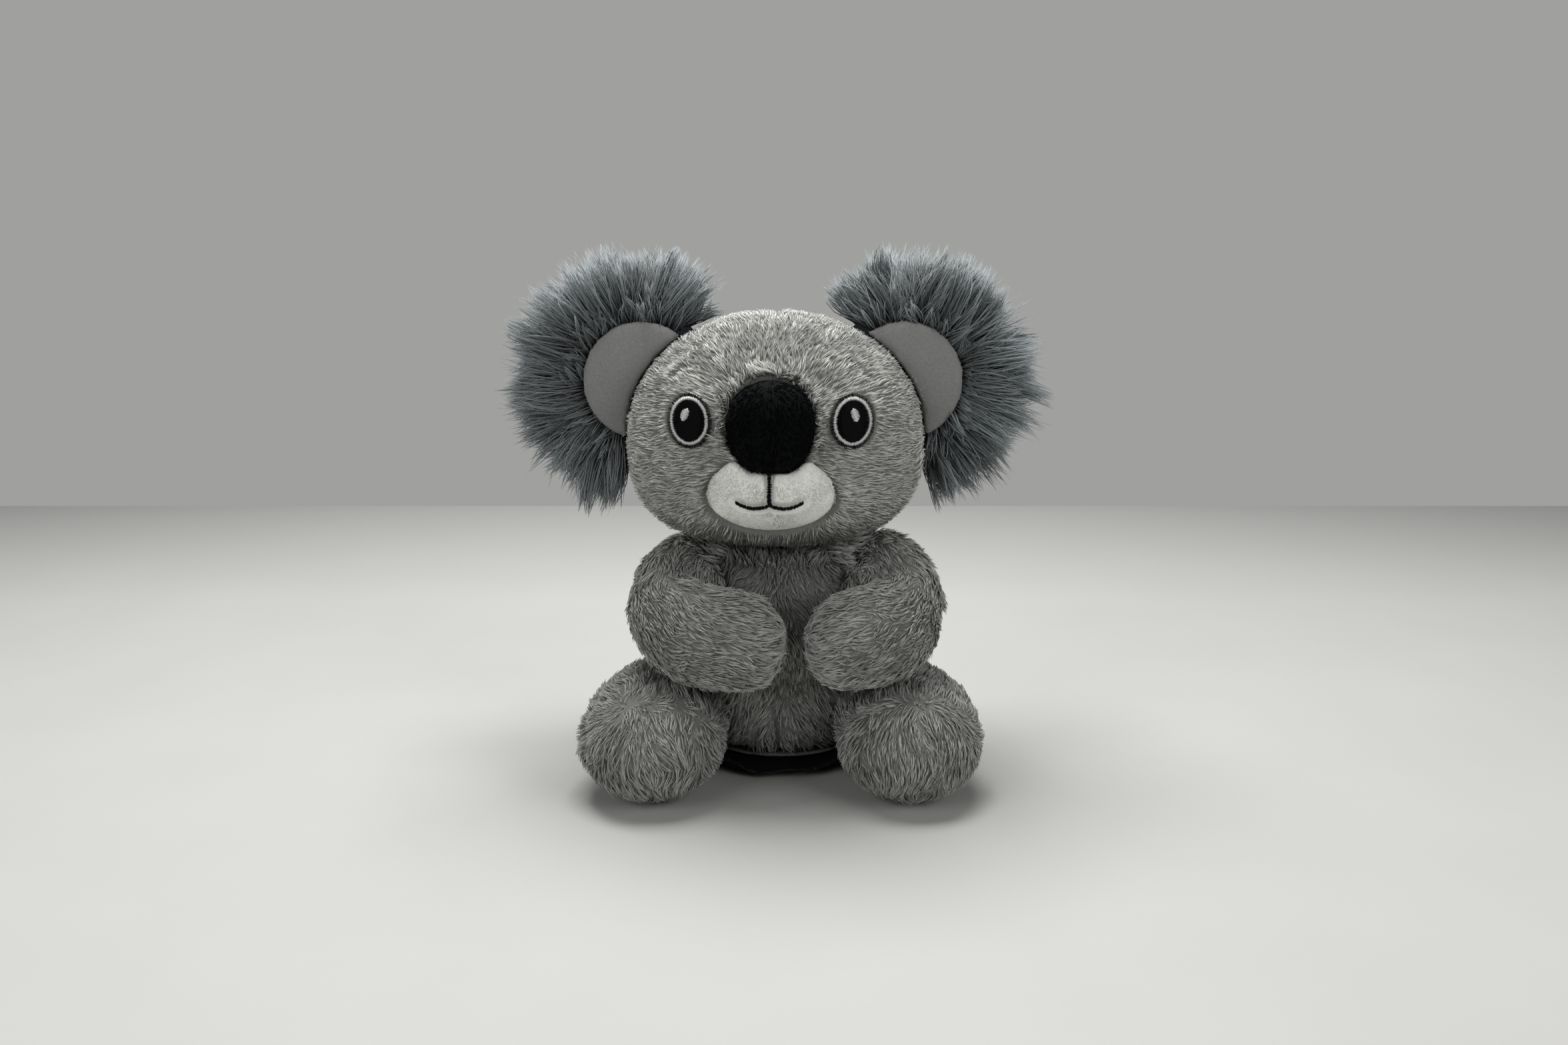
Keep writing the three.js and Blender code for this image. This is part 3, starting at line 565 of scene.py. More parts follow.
def plush(name, skin, seed, lie, nap=3.6, tuft=5.2, **rules):
    """The two lengths of the plush: a close nap, and longer tufts that part and overlap on it."""
    pile(f"{name}_nap", skin, grey_pile, seed, 3.6, nap, 0.42, lie, **rules)
    pile(f"{name}_tufts", skin, grey_pile, seed + 1, 1.0, tuft, 0.5, lie, rings=1, **rules)


# Torso
# A pear shaped sack, flat where it sits and dished where the head is sewn on, with one seam
# down the middle of the belly. Its pile is combed down and away from that seam.

HEAD_MIDDLE = np.array([-1.0, -3.0, 110.0])
BELLY_SEAM = -0.4
SEAT_LEVEL = 8.5
LAP_LEVEL = 27
SHOULDER_LEVEL = 60
NECK_LEVEL = 66
NECK_RADIUS = 9
RUFF_LEVEL = 70
RUFF_RADIUS = 25
FAR = 99  # the gap to a seam, in millimetres, for points that it doesn't run past


def belly_gap(points):
    on_the_belly = (points[:, 1] < -6) & (points[:, 2] < 58)
    return np.where(on_the_belly, np.abs(points[:, 0] - BELLY_SEAM), FAR)


def pinned(*gaps):
    """Holds what lies on a seam while the piece is puffed."""
    return lambda points: np.clip(1.3 - np.min([gap(points) for gap in gaps], 0) / 1.6, 0, 1)


torso = stuffed_skin("torso_skin", ["torso_shell", "torso_filling"], "torso", "grey_plush", 2.2, 0.5, 1.2,
                     pinned(belly_gap), creases=[(belly_gap, 1.0, 2.2)])
torso.data.materials.append(grey_knit)


def combed_down(points, up):
    off = points[:, 0] - BELLY_SEAM
    parting = 0.5 * np.sign(off) * np.exp(-np.abs(off) / 2) * (points[:, 2] < 29) * (points[:, 1] < 0)
    return np.stack([0.045 * off + parting, 0 * off, np.full(len(points), -1.0)], 1)


def off_the_neck(points):
    """How far each point is from the upright line that the head turns about."""
    return np.hypot(points[:, 0] - HEAD_MIDDLE[0], points[:, 1] - HEAD_MIDDLE[1])


def under_the_head(points):
    return (off_the_neck(points) < NECK_RADIUS) & (points[:, 2] > NECK_LEVEL)


def torso_bare(points):
    seam = (belly_gap(points) < 0.6) & (points[:, 2] < LAP_LEVEL)
    return (points[:, 2] < SEAT_LEVEL) | seam | under_the_head(points)


def off_the_shoulders(points):
    back_or_front = np.abs(points[:, 1] + 6) > 9
    return (points[:, 2] < SHOULDER_LEVEL) | (np.abs(points[:, 0]) < 13) | back_or_front


def off_the_ruff(points):
    return (points[:, 2] < RUFF_LEVEL) | under_the_head(points) | (off_the_neck(points) > RUFF_RADIUS)


# The torso's pile is painted darker toward the chest under the head, as painted shade.
plush("torso", torso, 11, combed_down, throw=0.1, bare=torso_bare,
      tone=lambda p: 0.62 * np.clip((p[:, 2] - 48) / 14, 0, 1))
pile("shoulder_tufts", torso, grey_pile, 15, 1.6, 8.5, 0.55, lambda p, up: unit(p * [1, 0, 0] + [0, 0, 4]),
     lift=(2.5, 1.2), rings=1, throw=0.12, bare=off_the_shoulders,
     guard=lambda p: np.minimum(p, [FAR, FAR, 79]))
# The ruff round the neck is painted darker all through, as painted shade under the head.
pile("neck_ruff", torso, grey_pile, 17, 3.0, 5.0, 0.5, lambda p, up: unit(p * [1, 1, 0] + [0, 0, 60]),
     lift=(3, 2), rings=1, throw=0.08, bare=off_the_ruff, guard=lambda p: np.minimum(p, [FAR, FAR, 78.2]),
     tone=lambda p: np.full(len(p), 0.5))

# Legs
# Each leg is a short stuffed limb that ends in a round foot, drawn up by a dart across its
# upper side. The pile parts at the dart: down over the foot, and back over the thigh.

HIPS_MIDDLE = 0.8
FOOT_SPREAD = 40
DART_FRONT = -42.0
DART_LEVEL = 38.0
DART_HALF = 20
DART_DROOP = 0.012
FOLD_HALF = 13


def dart_line(middle, across):
    """Points on the dart over a foot, which droops to both sides of the foot's middle."""
    level = DART_LEVEL - DART_DROOP * (across - middle) ** 2
    return np.stack([across, np.full(len(across), DART_FRONT), level], 1)


for side, sign in (("right", -1), ("left", 1)):
    foot = HIPS_MIDDLE + sign * FOOT_SPREAD
    dart = dart_line(foot, foot + np.linspace(-DART_HALF, DART_HALF, 41))

    def dart_gap(points, dart=dart):
        return np.sqrt(((points[:, None] - dart[None]) ** 2).sum(2)).min(1)

    leg = stuffed_skin(f"{side}_leg_skin", [f"{side}_leg_shell", f"{side}_leg_filling"], f"{side}_leg",
                       "grey_plush", 2.0, 0.5, 1.2, pinned(dart_gap), creases=[(dart_gap, 2.6, 5.0)])
    leg.data.materials.append(grey_knit)

    def parted(points, up, foot=foot, sign=sign):
        fold = dart_line(foot, points[:, 0])
        fold[:, 0] = np.clip(points[:, 0], foot - FOLD_HALF, foot + FOLD_HALF)
        thigh = np.array([0.25 * sign, 0.85, 0.35])
        past = np.clip((points[:, 1:2] + 41) / 3, 0, 1) * np.clip((points[:, 2:] - 16) / 10, 0, 1)
        return unit(points - fold) * (1 - past) + thigh * past

    plush(f"{side}_leg", leg, 21 + 2 * sign, parted, throw=0.05, bare=lambda p: p[:, 2] < 1.6,
          guard=lambda p: np.maximum(p, [-FAR, -FAR, 0.4]))

# Arms
# Each arm is a stuffed mitt that bends forward from the shoulder and rests on the belly. Its
# pile is combed from the shoulder to the paw, where a short seam draws it in.

# For each arm: the seed of its pile, the line down its middle from shoulder to paw, the wad in
# its crook with the wad's radius, and the two ends of the paw's seam.
for side, seed, line, wad, seam in (
    ("right", 41,
     [(-22, 2, 67.4), (-31, -8.8, 63.8), (-36.4, -20.2, 57.8),
      (-28, -32.8, 53.9), (-11.8, -38.2, 52.4), (2, -40, 52.4)],
     (-25, -17, 64.5, 8), [(-12.5, 53.2), (-2, 53.8)]),
    ("left", 39,
     [(25, 2, 68.6), (35.8, -8.2, 64.4), (41.5, -19, 57.2),
      (34, -31.6, 53.6), (20.8, -38.2, 52.4), (8.8, -40, 52.7)],
     (29.5, -17, 65, 8), [(11.4, 51), (15.2, 44.5)]),
):
    line = np.array(line, float)

    def paw_gap(points, seam=seam):
        run = np.linspace(seam[0], seam[1], 12)
        gap = np.sqrt(((points[:, None, ::2] - run[None]) ** 2).sum(2)).min(1)
        return np.where(points[:, 1] < -38, gap, FAR)

    arm = stuffed_skin(f"{side}_arm_skin", [f"{side}_arm_shell", f"{side}_arm_filling"], f"{side}_arm",
                       "grey_plush", 2.0, 0.5, 1.2, wads=[wad], creases=[(paw_gap, 1.4, 2.2)])
    arm.data.materials.append(grey_knit)

    def to_the_paw(points, up, line=line):
        middles, steps = (line[1:] + line[:-1]) / 2, unit(line[1:] - line[:-1])
        weight = np.exp(-((points[:, None] - middles[None]) ** 2).sum(2) / 150)
        return (weight[:, :, None] * steps[None]).sum(1) / weight.sum(1, keepdims=True)

    plush(f"{side}_arm", arm, seed, to_the_paw, throw=0.05, bare=lambda p: paw_gap(p) < 0.3)

# Head
# An oval stuffed ball with a seam over the crown and down the back. A stitch pulled tight
# over each eye pinches the plush into a brow. Its pile is added once the face is sewn on.

HEAD_HALF = np.array([48.0, 40.0, 41.0])
HEAD_HALF_BELOW = np.array([48.0, 40.0, 33.0])
HEAD_SQUARENESS = 2.1
FACE = -2.1
CROWN_SEAM = -0.5
EYE_LEVEL = 120.1
EYE_SPREAD = 24.0
BROW_SPREAD = 23.1
BROW_REACH = 6.5
BROW_LEVEL = 138.2
BROW_DROP = 6.0
BROW_END = (23.5, 138.0)

# The pocket of each eye and the beds of the nose and the muzzle are ovals, given by half their
# width and half their height, and by the radius that tells how far off their edge a point is.
EYE_POCKET = (6.7, 7.7)
EYE_POCKET_RADIUS = 7
NOSE_BED = (11.6, 12.8)
NOSE_BED_LEVEL = 119.3
MUZZLE_BED = (18.5, 10.9)
MUZZLE_BED_LEVEL = 97.6
BED_RADIUS = 10


def crown_gap(points):
    on_the_crown = (points[:, 2] > 142) | (points[:, 1] > 0)
    return np.where(on_the_crown, np.abs(points[:, 0] - CROWN_SEAM), FAR)


def eye_gap(points):
    out = (np.abs(points[:, 0] - FACE) - EYE_SPREAD) / EYE_POCKET[0]
    deep = np.hypot(out, (points[:, 2] - EYE_LEVEL) / EYE_POCKET[1])
    return np.where(points[:, 1] < 0, np.maximum(deep - 1, 0) * EYE_POCKET_RADIUS, FAR)


def under_the_nose_and_muzzle(points):
    across, rise = points[:, 0] - FACE, points[:, 2]
    nose_deep = np.hypot(across / NOSE_BED[0], (rise - NOSE_BED_LEVEL) / NOSE_BED[1])
    muzzle_deep = np.hypot(across / MUZZLE_BED[0], (rise - MUZZLE_BED_LEVEL) / MUZZLE_BED[1])
    deep = np.minimum(nose_deep, muzzle_deep)
    return np.where(points[:, 1] < 0, np.maximum(deep - 1, 0) * BED_RADIUS, FAR)


def brow_gap(points):
    out = np.abs(points[:, 0] - FACE)
    along = np.clip((out - BROW_SPREAD) / BROW_REACH, 0, 1)
    drop = BROW_DROP * along ** 0.8
    gap = np.hypot(out - BROW_SPREAD - BROW_REACH * along, points[:, 2] - BROW_LEVEL + drop)
    return np.where(points[:, 1] < 0, gap, FAR)


def brow_end_gap(points):
    gap = np.hypot(np.abs(points[:, 0] - FACE) - BROW_END[0], points[:, 2] - BROW_END[1])
    return np.where(points[:, 1] < 0, gap, FAR)


eye_layers = [f"{side}_eye_{layer}" for side in ("right", "left")
              for layer in ("outline", "ring", "pupil", "glint")]
head = stuffed_skin("head_skin", ["head_shell", "head_filling"], "head", "grey_plush", 2.4, 0.4, 1.0,
                    pinned(crown_gap, brow_gap), smooth=8, plugs=eye_layers,
                    creases=[(crown_gap, 1.1, 2.4), (brow_gap, 1.0, 1.5), (brow_end_gap, 1.0, 1.6),
                             (eye_gap, -0.8, 2.5)])
head.data.materials.append(grey_knit)

# Nose
# A padded oval of short black plush, sewn to the head over the muzzle's upper edge. Its pile
# lies down toward the mouth.

NOSE_MIDDLE = np.array([-1.85, 0, 119.35])
NOSE_PLACE = np.array([FACE, 0, 119.0])
NOSE_SCALE = np.array([1.03, 1, 0.95])
# The black pile's paler tips are partly its own blue-black and partly a painted highlight for the nose's
# sheen.
black_pile = pile_finish("black_pile", paint(1, 1, 2), paint(3, 4, 6), paint(10, 14, 17), 0.5,
                         Roughness=0.8, Specular_IOR_Level=0.04)
black_knit = knit_finish("black_knit", paint(1, 2, 2), paint(4, 5, 6))
nose = stuffed_skin("nose_skin", ["nose_cover", "nose_filling"], "head", "black_plush", 1.0, 0, 0.7,
                    smooth=4)
wider = NOSE_PLACE + (points_of(nose) / MM - NOSE_MIDDLE) * NOSE_SCALE
nose.data.vertices.foreach_set("co", (wider * MM).ravel())
nose.data.update()
nose.data.materials.append(black_knit)


def over_the_nose(points, up):
    return np.stack([0.07 * (points[:, 0] - FACE), 0 * points[:, 0], np.full(len(points), -0.7)], 1)


pile("nose_pile", nose, black_pile, 71, 5.5, 2.0, 0.4, over_the_nose, lift=(0.6, 0.3),
     locks=((2.2, 0.2), (1.0, 0.4)))

# Muzzle
# A padded oval of short white plush. The mouth's stitches go right through it, so it swells
# into two cheeks above them and a chin below.

MOUTH_MIDDLE = -2.5
MOUTH_JOIN = 96.7
MOUTH_TOP = 107.5
MOUTH_REACH = 9.9
MOUTH_RISE = 0.5
MOUTH_SAG = 1.4
MUZZLE_LEVEL = 97.5
MUZZLE_HALF_WIDTH = 19
MUZZLE_UP = 8.3
MUZZLE_DOWN = 12.2
CHEEK_RISE = 6
MUZZLE_SWELL = 6.2
MUZZLE_BACK = 1.5
MUZZLE_SINK = 0.4


def mouth_line(count):
    """Points along the mouth, count of them on each of its three lines: up the stem, then out
    along the two arcs."""
    lines = [np.stack([np.full(count, MOUTH_MIDDLE), np.linspace(MOUTH_JOIN, MOUTH_TOP, count)], 1)]
    run = np.linspace(0, 1, count)
    rise = MOUTH_JOIN + MOUTH_RISE * run - MOUTH_SAG * 4 * run * (1 - run)
    for sign in (-1, 1):
        lines.append(np.stack([MOUTH_MIDDLE + sign * MOUTH_REACH * run, rise], 1))
    return np.concatenate(lines)


def mouth_gap(points):
    line = mouth_line(30)
    gap = np.sqrt(((points[:, None, ::2] - line[None]) ** 2).sum(2)).min(1)
    return np.where(points[:, 1] < -38, gap, FAR)


white_pile = pile_finish("white_pile", paint(234, 234, 228), paint(247, 247, 242), paint(252, 252, 249),
                         0.08, Roughness=0.8, Specular_IOR_Level=0.2, Sheen_Weight=0.2)
white_knit = knit_finish("white_knit", paint(220, 220, 214), paint(236, 236, 231))
bpy.ops.mesh.primitive_uv_sphere_add(segments=64, ring_count=32, radius=1, location=(0, 0, 0))
muzzle = bpy.context.object
muzzle.name = "muzzle_skin"
ball = points_of(muzzle)
x = FACE + MUZZLE_HALF_WIDTH * ball[:, 0]
lobe = np.clip((np.abs(x - FACE) - 5) / 7, 0, 1)
up = MUZZLE_UP + CHEEK_RISE * lobe ** 2 * (3 - 2 * lobe)
z = MUZZLE_LEVEL + ball[:, 2] * np.where(ball[:, 2] > 0, up, MUZZLE_DOWN)
off = (np.abs((x - HEAD_MIDDLE[0]) / HEAD_HALF_BELOW[0]) ** HEAD_SQUARENESS
       + np.abs((z - HEAD_MIDDLE[2]) / HEAD_HALF_BELOW[2]) ** HEAD_SQUARENESS)
head_front = HEAD_MIDDLE[1] - HEAD_HALF_BELOW[1] * (1 - off) ** (1 / HEAD_SQUARENESS)
y = head_front + MUZZLE_SINK + ball[:, 1] * np.where(ball[:, 1] < 0, MUZZLE_SWELL, MUZZLE_BACK)
muzzle.data.vertices.foreach_set("co", (np.stack([x, y, z], 1) * MM).ravel())
muzzle.data.update()
puff(muzzle, 0.8, pinned(mouth_gap))
apply_modifier(muzzle, "SUBSURF", levels=1, render_levels=1)
crease(muzzle, mouth_gap, 0.8, 2.4)
crease(head, under_the_nose_and_muzzle, 2.2, 1.5)
bpy.ops.object.shade_smooth()
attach(muzzle, "head")
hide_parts("muzzle_cover", "muzzle_filling")
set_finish(muzzle, "white_plush")
muzzle.data.materials.append(white_knit)


def over_the_muzzle(points, up):
    return np.stack([0.08 * (points[:, 0] - FACE), 0 * points[:, 0], np.full(len(points), -0.5)], 1)


pile("muzzle_pile", muzzle, white_pile, 81, 11.0, 1.4, 0.32, over_the_muzzle, lift=(0.8, 0.4),
     locks=((2.0, 0.12), (0.8, 0.2)), bare=lambda p: (mouth_gap(p) < 1.2) | (p[:, 1] > -34),
     shy=lambda p: mouth_gap(p) < 1.0)

# Stitched eyes, mouth and brows
# Rayon thread in satin stitch: each stitch runs straight across the line that it covers and
# lies on the cloth below. An eye is an outline, a ring, a pupil and a glint, in that order.


IN_FRONT = -90
BACKWARD = Vector((0, 1, 0))

# Half the width and half the height of each layer of an eye.
EYE_OUTLINE = (6.3, 7.35)
EYE_RING = (5.35, 6.4)
EYE_PUPIL = (4.95, 6.0)
EYE_GLINT = (1.1, 1.9)
GLINT_RISE = 1.7
BROW_STITCHES = 12
MOUTH_STITCHES = 34


def satin(name, ground, line, across, lift, pitch_width, material, slot, replaced, pieces, facing=None):
    """Lays one thread across the line at each of its points, draped on the ground piece.

    across is half of each stitch, pitch_width the thread's own width, and pieces the number of
    parts that a stitch bends in. A stitch is lifted off the ground along facing, or along the
    ground's own normal. With facing it also spans the places where the ground falls away.
    """
    held = None
    tree = BVHTree.FromObject(ground, bpy.context.evaluated_depsgraph_get())
    rng = np.random.default_rng(len(name) * 7 + len(line))
    spikes = []
    for centre, reach in zip(line, across):
        ends = centre - reach, centre + reach
        rows = []
        jitter = rng.normal(scale=0.07, size=2)
        for at in np.linspace(0, 1, pieces + 1):
            x, z = ends[0] * (1 - at) + ends[1] * at + jitter * (1 if at in (0, 1) else 0)
            hit, normal, _, _ = tree.ray_cast(Vector((x, IN_FRONT, z)) * MM, BACKWARD)
            if facing and held and (hit is None or hit.y > held):
                hit = Vector((x * MM, held, z * MM))
            if hit is None:
                rows = []
                break
            normal = facing or normal
            arch = 0.12 * math.sin(math.pi * at)
            rows.append((np.array(hit) / MM + np.array(normal) * (lift + arch), np.array(normal)))
        if not rows:
            continue
        held = hit.y + 0.15 * MM
        course = rows[-1][0] - rows[0][0]
        for count, (point, normal) in enumerate(rows):
            wide = np.cross(course, normal)
            wide *= pitch_width / 2 / max(np.linalg.norm(wide), 1e-9)
            if count in (0, pieces):
                wide *= 0.5
            low, high = point - normal * 0.16, point + normal * 0.12
            spikes.append((low - wide, low + wide, high))
    points = np.array(spikes).reshape(-1, 3)
    faces = []
    per = 3 * (pieces + 1)
    for start in range(0, len(points), per):
        faces.append((start, start + 1, start + 2))
        for step in range(pieces):
            low = start + 3 * step
            for one, two in ((0, 1), (1, 2), (2, 0)):
                faces.append((low + one, low + 3 + one, low + 3 + two, low + two))
        end = start + per - 3
        faces.append((end + 2, end + 1, end))
    mesh = bpy.data.meshes.new(name)
    mesh.from_pydata((points * MM).tolist(), [], faces)
    thread = bpy.data.objects.new(name, mesh)
    bpy.context.scene.collection.objects.link(thread)
    bpy.ops.object.select_all(action="DESELECT")
    thread.select_set(True)
    bpy.context.view_layer.objects.active = thread
    bpy.ops.object.mode_set(mode="EDIT")
    bpy.ops.mesh.select_all(action="SELECT")
    bpy.ops.mesh.normals_make_consistent(inside=False)
    bpy.ops.object.mode_set(mode="OBJECT")
    bpy.ops.object.shade_smooth()
    mesh.materials.append(material)
    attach(thread, "head")
    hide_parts(replaced)
    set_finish(thread, slot)


def thread_finish(name, dark, light, gloss):
    made = Finish(name, Roughness=0.45, Specular_IOR_Level=gloss)
    ply = made.noise(0.25, 2)
    made.bump(ply, 0.05)
    return made.surface(Base_Color=made.mix(ply, dark, light))


black_thread = thread_finish("black_rayon", paint(2, 2, 3), paint(9, 9, 10), 0.08)
white_thread = thread_finish("white_rayon", paint(204, 206, 204), paint(242, 243, 240), 0.4)


def oval(x, z, half_width, half_height, pitch):
    """Points round an oval and, for each, the way out from its middle."""
    count = int(2 * math.pi * math.sqrt((half_width ** 2 + half_height ** 2) / 2) / pitch)
    turn = np.linspace(0, 2 * math.pi, count, endpoint=False)
    ring = np.stack([half_width * np.cos(turn), half_height * np.sin(turn)], 1)
    out = unit(np.stack([np.cos(turn) / half_width, np.sin(turn) / half_height], 1))
    return ring + np.array([x, z]), out


def rows_of(x, z, half_width, half_height, pitch, tilt=0.0):
    """Level rows that fill an oval, and half of each row's length as a vector."""
    level = np.arange(-half_height + pitch / 2, half_height, pitch)
    half = half_width * np.sqrt(1 - (level / half_height) ** 2)
    cos, sin = math.cos(tilt), math.sin(tilt)
    line = np.stack([x + sin * level, z + cos * level], 1)
    return line, np.stack([cos * half, -sin * half], 1)


for side, sign, glint, tilt in (("right", -1, -1.0, 0.45), ("left", 1, 0.5, -0.35)):
    x = FACE + sign * EYE_SPREAD
    ring, out = oval(x, EYE_LEVEL, *EYE_OUTLINE, 0.3)
    satin(f"{side}_eye_outline_stitch", head, ring, out * 0.5, 0.7, 0.4, black_thread, "black_thread",
          f"{side}_eye_outline", 1)
    ring, out = oval(x, EYE_LEVEL, *EYE_RING, 0.29)
    satin(f"{side}_eye_ring_stitch", head, ring, out * 0.55, 0.7, 0.34, white_thread, "white_thread",
          f"{side}_eye_ring", 2)
    line, half = rows_of(x, EYE_LEVEL, *EYE_PUPIL, 0.27)
    satin(f"{side}_eye_pupil_stitch", head, line, half, 0.75, 0.36, black_thread, "black_thread",
          f"{side}_eye_pupil", 6)
    line, half = rows_of(x + glint, EYE_LEVEL + GLINT_RISE, *EYE_GLINT, 0.3, tilt)
    satin(f"{side}_eye_glint_stitch", head, line, half, 1.05, 0.38, white_thread, "white_thread",
          f"{side}_eye_glint", 2)
    run = np.linspace(0, 0.4, BROW_STITCHES)
    brow = np.stack([FACE + sign * (BROW_SPREAD + BROW_REACH * run), BROW_LEVEL - BROW_DROP * run ** 0.8], 1)
    across = np.tile([[0.25 * sign, 0.4]], (BROW_STITCHES, 1))
    satin(f"{side}_brow_thread", head, brow, across, 0.2, 0.4, black_thread, "black_thread",
          f"{side}_brow_stitch", 1)

on_the_stem = np.tile([[0.7, 0.0]], (MOUTH_STITCHES, 1))
on_the_arcs = np.tile([[0.0, 0.6]], (2 * MOUTH_STITCHES, 1))
across = np.concatenate([on_the_stem, on_the_arcs])
satin("mouth_thread", muzzle, mouth_line(MOUTH_STITCHES), across, 1.1, 0.45, black_thread, "black_thread",
      "mouth_stitch", 2, (0, -1, 0))

# Head pile
# The head's plush is shorter than the body's and combed away from the nose. It is brushed
# clear of the eyes, nose and muzzle, which sit in it with their edges showing.

sewn_on = [BVHTree.FromObject(piece, bpy.context.evaluated_depsgraph_get()) for piece in (nose, muzzle)]


def on_the_face(points):
    """Whether each point lies on an eye or in the nose or the muzzle."""
    out, rise = np.abs(points[:, 0] - FACE), points[:, 2]
    front = points[:, 1] < 0
    hidden = front & (eye_gap(points) == 0)
    outward = unit(points * [1, 0, 1] - [FACE, 0, 110]) * 0.5
    for index in np.nonzero(front & (out < 24) & (rise > 84) & (rise < 136) & ~hidden)[0]:
        x, _, z = points[index] + outward[index]
        before = Vector((x, IN_FRONT, z)) * MM
        hidden[index] = any(tree.ray_cast(before, BACKWARD)[0] is not None for tree in sewn_on)
    return hidden


def from_the_nose(points, up):
    wide = 10 * np.clip((110 - points[:, 2]) / 8, 0, 1)
    across = np.clip(points[:, 0], FACE - wide, FACE + wide)
    middle = np.stack([across, np.full(len(points), -43.0), np.clip(points[:, 2], 98, 119)], 1)
    return unit(points - middle) + np.array([0, 0.1, -0.1])


def painted_face_shading(points):
    """How much darker the pile is painted: painted shade on the forehead and under the chin, and
    painted light that makes the cheeks paler.
    """
    out, rise, front = np.abs(points[:, 0] - FACE), points[:, 2], points[:, 1] < 0
    forehead = np.exp(-(out / 18) ** 2) * np.clip((149 - rise) / 6, 0, 1) * np.clip((rise - 126) / 6, 0, 1)
    cheek = np.clip((out - 18) / 6, 0, 1) * np.clip((126 - rise) / 6, 0, 1) * np.clip((rise - 94) / 6, 0, 1)
    return front * (0.75 * forehead - 0.22 * cheek) + 0.62 * np.clip((91 - rise) / 6, 0, 1)


def head_bare(points, back):
    neck = (off_the_neck(points) < 17) & (points[:, 2] < 90)
    seam = (brow_gap(points) < 0.3) | (brow_end_gap(points) < 1.1) | (crown_gap(points) < 0.3)
    return on_the_face(points) | seam | neck | ((points[:, 1] > -3) != back)


# The face's pile carries painted shade on the forehead and under the chin, and painted light on the cheeks.
for part, back in (("face", False), ("nape", True)):
    for layer, seed, per_mm2, length, lift, rings in (
        ("nap", 41, 4.4 - 0.6 * back, 3.2, 0.4, 0),
        ("tufts", 42, 1.0, 4.4, 0.5, 1),
    ):
        pile(f"head_{part}_{layer}", head, short_pile, seed + 2 * back, per_mm2, length, 0.37,
             from_the_nose, lift=(lift, 0.3 * lift), locks=((2.8, 0.15), (1.0, 0.25)), wander=0.22,
             throw=0.04, rings=rings, bare=lambda p, back=back: head_bare(p, back), shy=on_the_face,
             tone=painted_face_shading)


def away_from_the_rim(points):
    rim = np.abs(np.hypot((points[:, 0] - FACE) / 13.6, (points[:, 2] - 119) / 14.4) - 1.05) > 0.1
    return rim | (points[:, 1] > 0) | (points[:, 2] < 112)


# These tufts are painted darker all through, as painted shade at the nose's rim.
pile("nose_rim_tufts", head, short_pile, 45, 2.2, 4.2, 0.4, from_the_nose, lift=(2.4, 0.9), rings=1,
     throw=0.2, bare=away_from_the_rim, tone=lambda p: np.full(len(p), 0.5))

# Ears
# A round of slate fur fabric is sewn to each side of the head, its long fibres swept
# outward, with a smooth grey velour lining set in its front.

EAR_SPREAD = 44.5
EAR_HALF = np.array([25, 5.6, 26])
LINING_RADIUS = 16.8
FUR_EDGE = 43.2
FUR_SHORTEST = 13
FUR_LONGEST = 26
FUR_REACH = 46
# The fur's very dark roots are partly its own slate and partly painted shade deep in the fur.
slate_fur = pile_finish("slate_fur", paint(16, 20, 23), paint(106, 115, 118), paint(152, 161, 163), 0.72,
                        Roughness=0.6, Specular_IOR_Level=0.3, Sheen_Weight=0.3)
slate_knit = knit_finish("slate_knit", paint(46, 52, 56), paint(70, 78, 82))
velour_pile = pile_finish("velour_pile", paint(112, 112, 111), paint(152, 152, 151),
                          paint(180, 180, 178), 0.36, Roughness=0.8, Specular_IOR_Level=0.2, Sheen_Weight=0.4)
velour_knit = knit_finish("velour_knit", paint(112, 112, 111), paint(140, 140, 139))


def out_of_the_head(points, clear):
    """Moves points inside the head out past its surface, and tells how far out each was, 1
    being at that distance."""
    away = points - HEAD_MIDDLE
    half = np.where(away[:, 2:] > 0, HEAD_HALF, HEAD_HALF_BELOW) + clear
    deep = (np.abs(away / half) ** HEAD_SQUARENESS).sum(1, keepdims=True) ** (1 / HEAD_SQUARENESS)
    return HEAD_MIDDLE + away / np.minimum(1, np.maximum(deep, 0.2)), deep[:, 0]


def beside_the_head(points, reach):
    return out_of_the_head(points, 0.4)[1] < reach


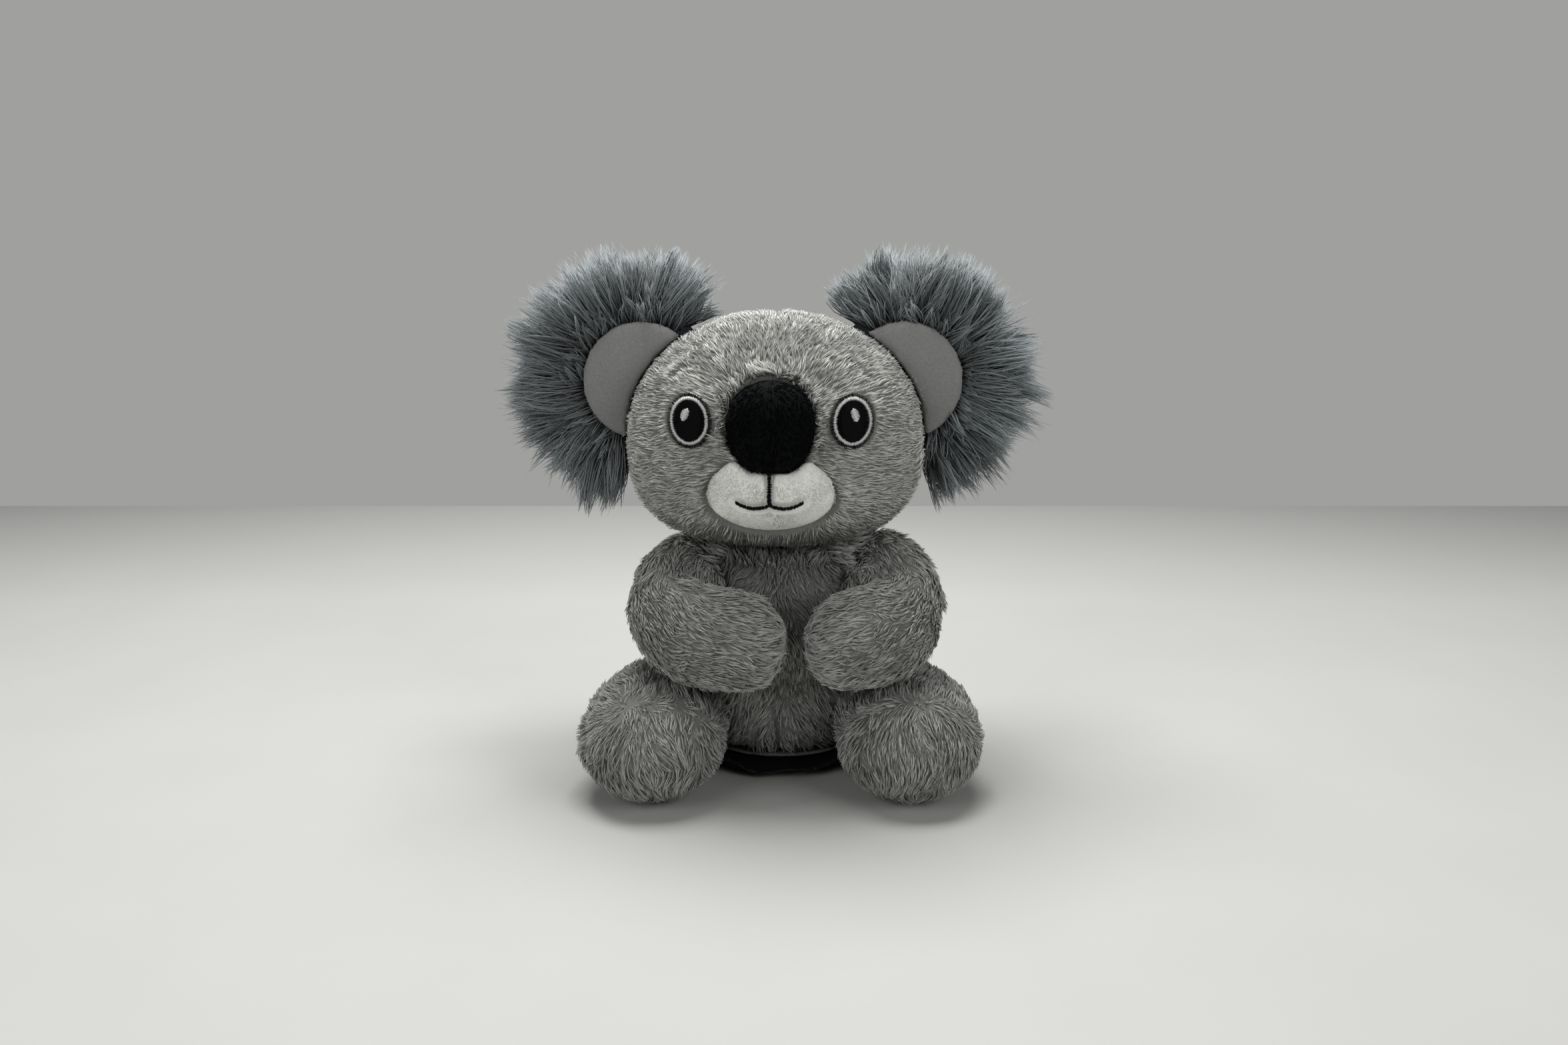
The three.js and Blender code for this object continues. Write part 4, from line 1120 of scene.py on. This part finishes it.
for side, sign in (("right", -1), ("left", 1)):
    middle = np.array([FACE + sign * EAR_SPREAD, 4.0, 127.0])
    bpy.ops.object.select_all(action="DESELECT")
    bpy.ops.mesh.primitive_uv_sphere_add(segments=48, ring_count=24, radius=1, location=(0, 0, 0))
    backing = bpy.context.object
    backing.name = f"{side}_ear_backing"
    placed = middle + np.array([0, 2.8, 0]) + points_of(backing) * EAR_HALF
    placed, _ = out_of_the_head(placed, -1.5)
    backing.data.vertices.foreach_set("co", (placed * MM).ravel())
    bpy.ops.object.shade_smooth()
    backing.data.materials.append(slate_knit)
    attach(backing, "head")
    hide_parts(f"{side}_ear_fur", f"{side}_ear_filling")
    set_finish(backing, "long_fur")
    lining_middle = middle + np.array([-sign * 2.5, 0, 1.0])

    def swept_out(points, up, middle=middle, sign=sign):
        behind = np.clip((points[:, 1:2] - 5) / 4, 0, 1) * np.array([14 * sign, 0, 0])
        return unit((points - middle + behind) * np.array([1, 0.4, 1]))

    def off_the_lining(points, lining_middle=lining_middle):
        return np.hypot(points[:, 0] - lining_middle[0], points[:, 2] - lining_middle[2])

    def under_the_lining(points, off_the_lining=off_the_lining):
        under = (off_the_lining(points) < LINING_RADIUS) & (points[:, 1] < 6)
        return under | beside_the_head(points, 1.03)

    def near_the_head(points, under_the_lining=under_the_lining):
        return under_the_lining(points) | beside_the_head(points, 1.2)

    def off_the_rim(points, off_the_lining=off_the_lining):
        across = off_the_lining(points)
        return (across < 16) | (across > 22) | (points[:, 1] > 6) | beside_the_head(points, 1.03)

    def to_the_rim(points, middle=middle):
        from_middle = np.hypot(points[:, 0] - middle[0], points[:, 2] - middle[2])
        return np.clip(FUR_EDGE - from_middle, FUR_SHORTEST, FUR_LONGEST)[:, None]

    def clear_of_the_head(points, middle=middle):
        away = out_of_the_head(points, 1.2)[0] - middle
        return middle + away * np.minimum(1, FUR_REACH / np.linalg.norm(away[:, ::2], axis=1, keepdims=True))

    pile(f"{side}_ear_fur_pile", backing, slate_fur, 51 + sign, 3.0, 20, 0.42, swept_out, lift=(1.6, 0.25),
         locks=((7.0, 0.2), (3.0, 0.4), (1.4, 0.15)), wander=0.3, throw=0.07, reach=to_the_rim, rings=2,
         bare=under_the_lining, guard=clear_of_the_head)
    pile(f"{side}_ear_wisps", backing, slate_fur, 54 + sign, 0.5, 20, 0.28, swept_out, lift=(1.8, 0.3),
         locks=((2.5, 0.2),), wander=0.35, throw=0.05, reach=lambda p: 1.03 * to_the_rim(p), rings=3,
         bare=near_the_head, guard=clear_of_the_head)
    pile(f"{side}_ear_rim_tufts", backing, slate_fur, 57 + sign, 2.4, 11, 0.42, swept_out, lift=(2.6, 0.7),
         locks=((4.5, 0.5), (1.5, 0.22)), wander=0.6, throw=0.18, rings=2, bare=off_the_rim,
         guard=clear_of_the_head)

    lining = stuffed_skin(f"{side}_ear_lining_skin", [f"{side}_ear_lining"], "head", "ear_plush", 0.9, 0,
                          0.5, smooth=3)
    spread = lining_middle + (points_of(lining) / MM - lining_middle) * np.array([1.07, 1, 1.07])
    lining.data.vertices.foreach_set("co", (spread * MM).ravel())
    lining.data.update()
    lining.data.materials.append(velour_knit)
    pile(f"{side}_ear_lining_pile", lining, velour_pile, 61 + sign, 6.0, 1.3, 0.4, swept_out,
         lift=(0.5, 0.2), locks=((2.4, 0.15), (1.0, 0.3)), bare=lambda p: p[:, 1] > -1.2)
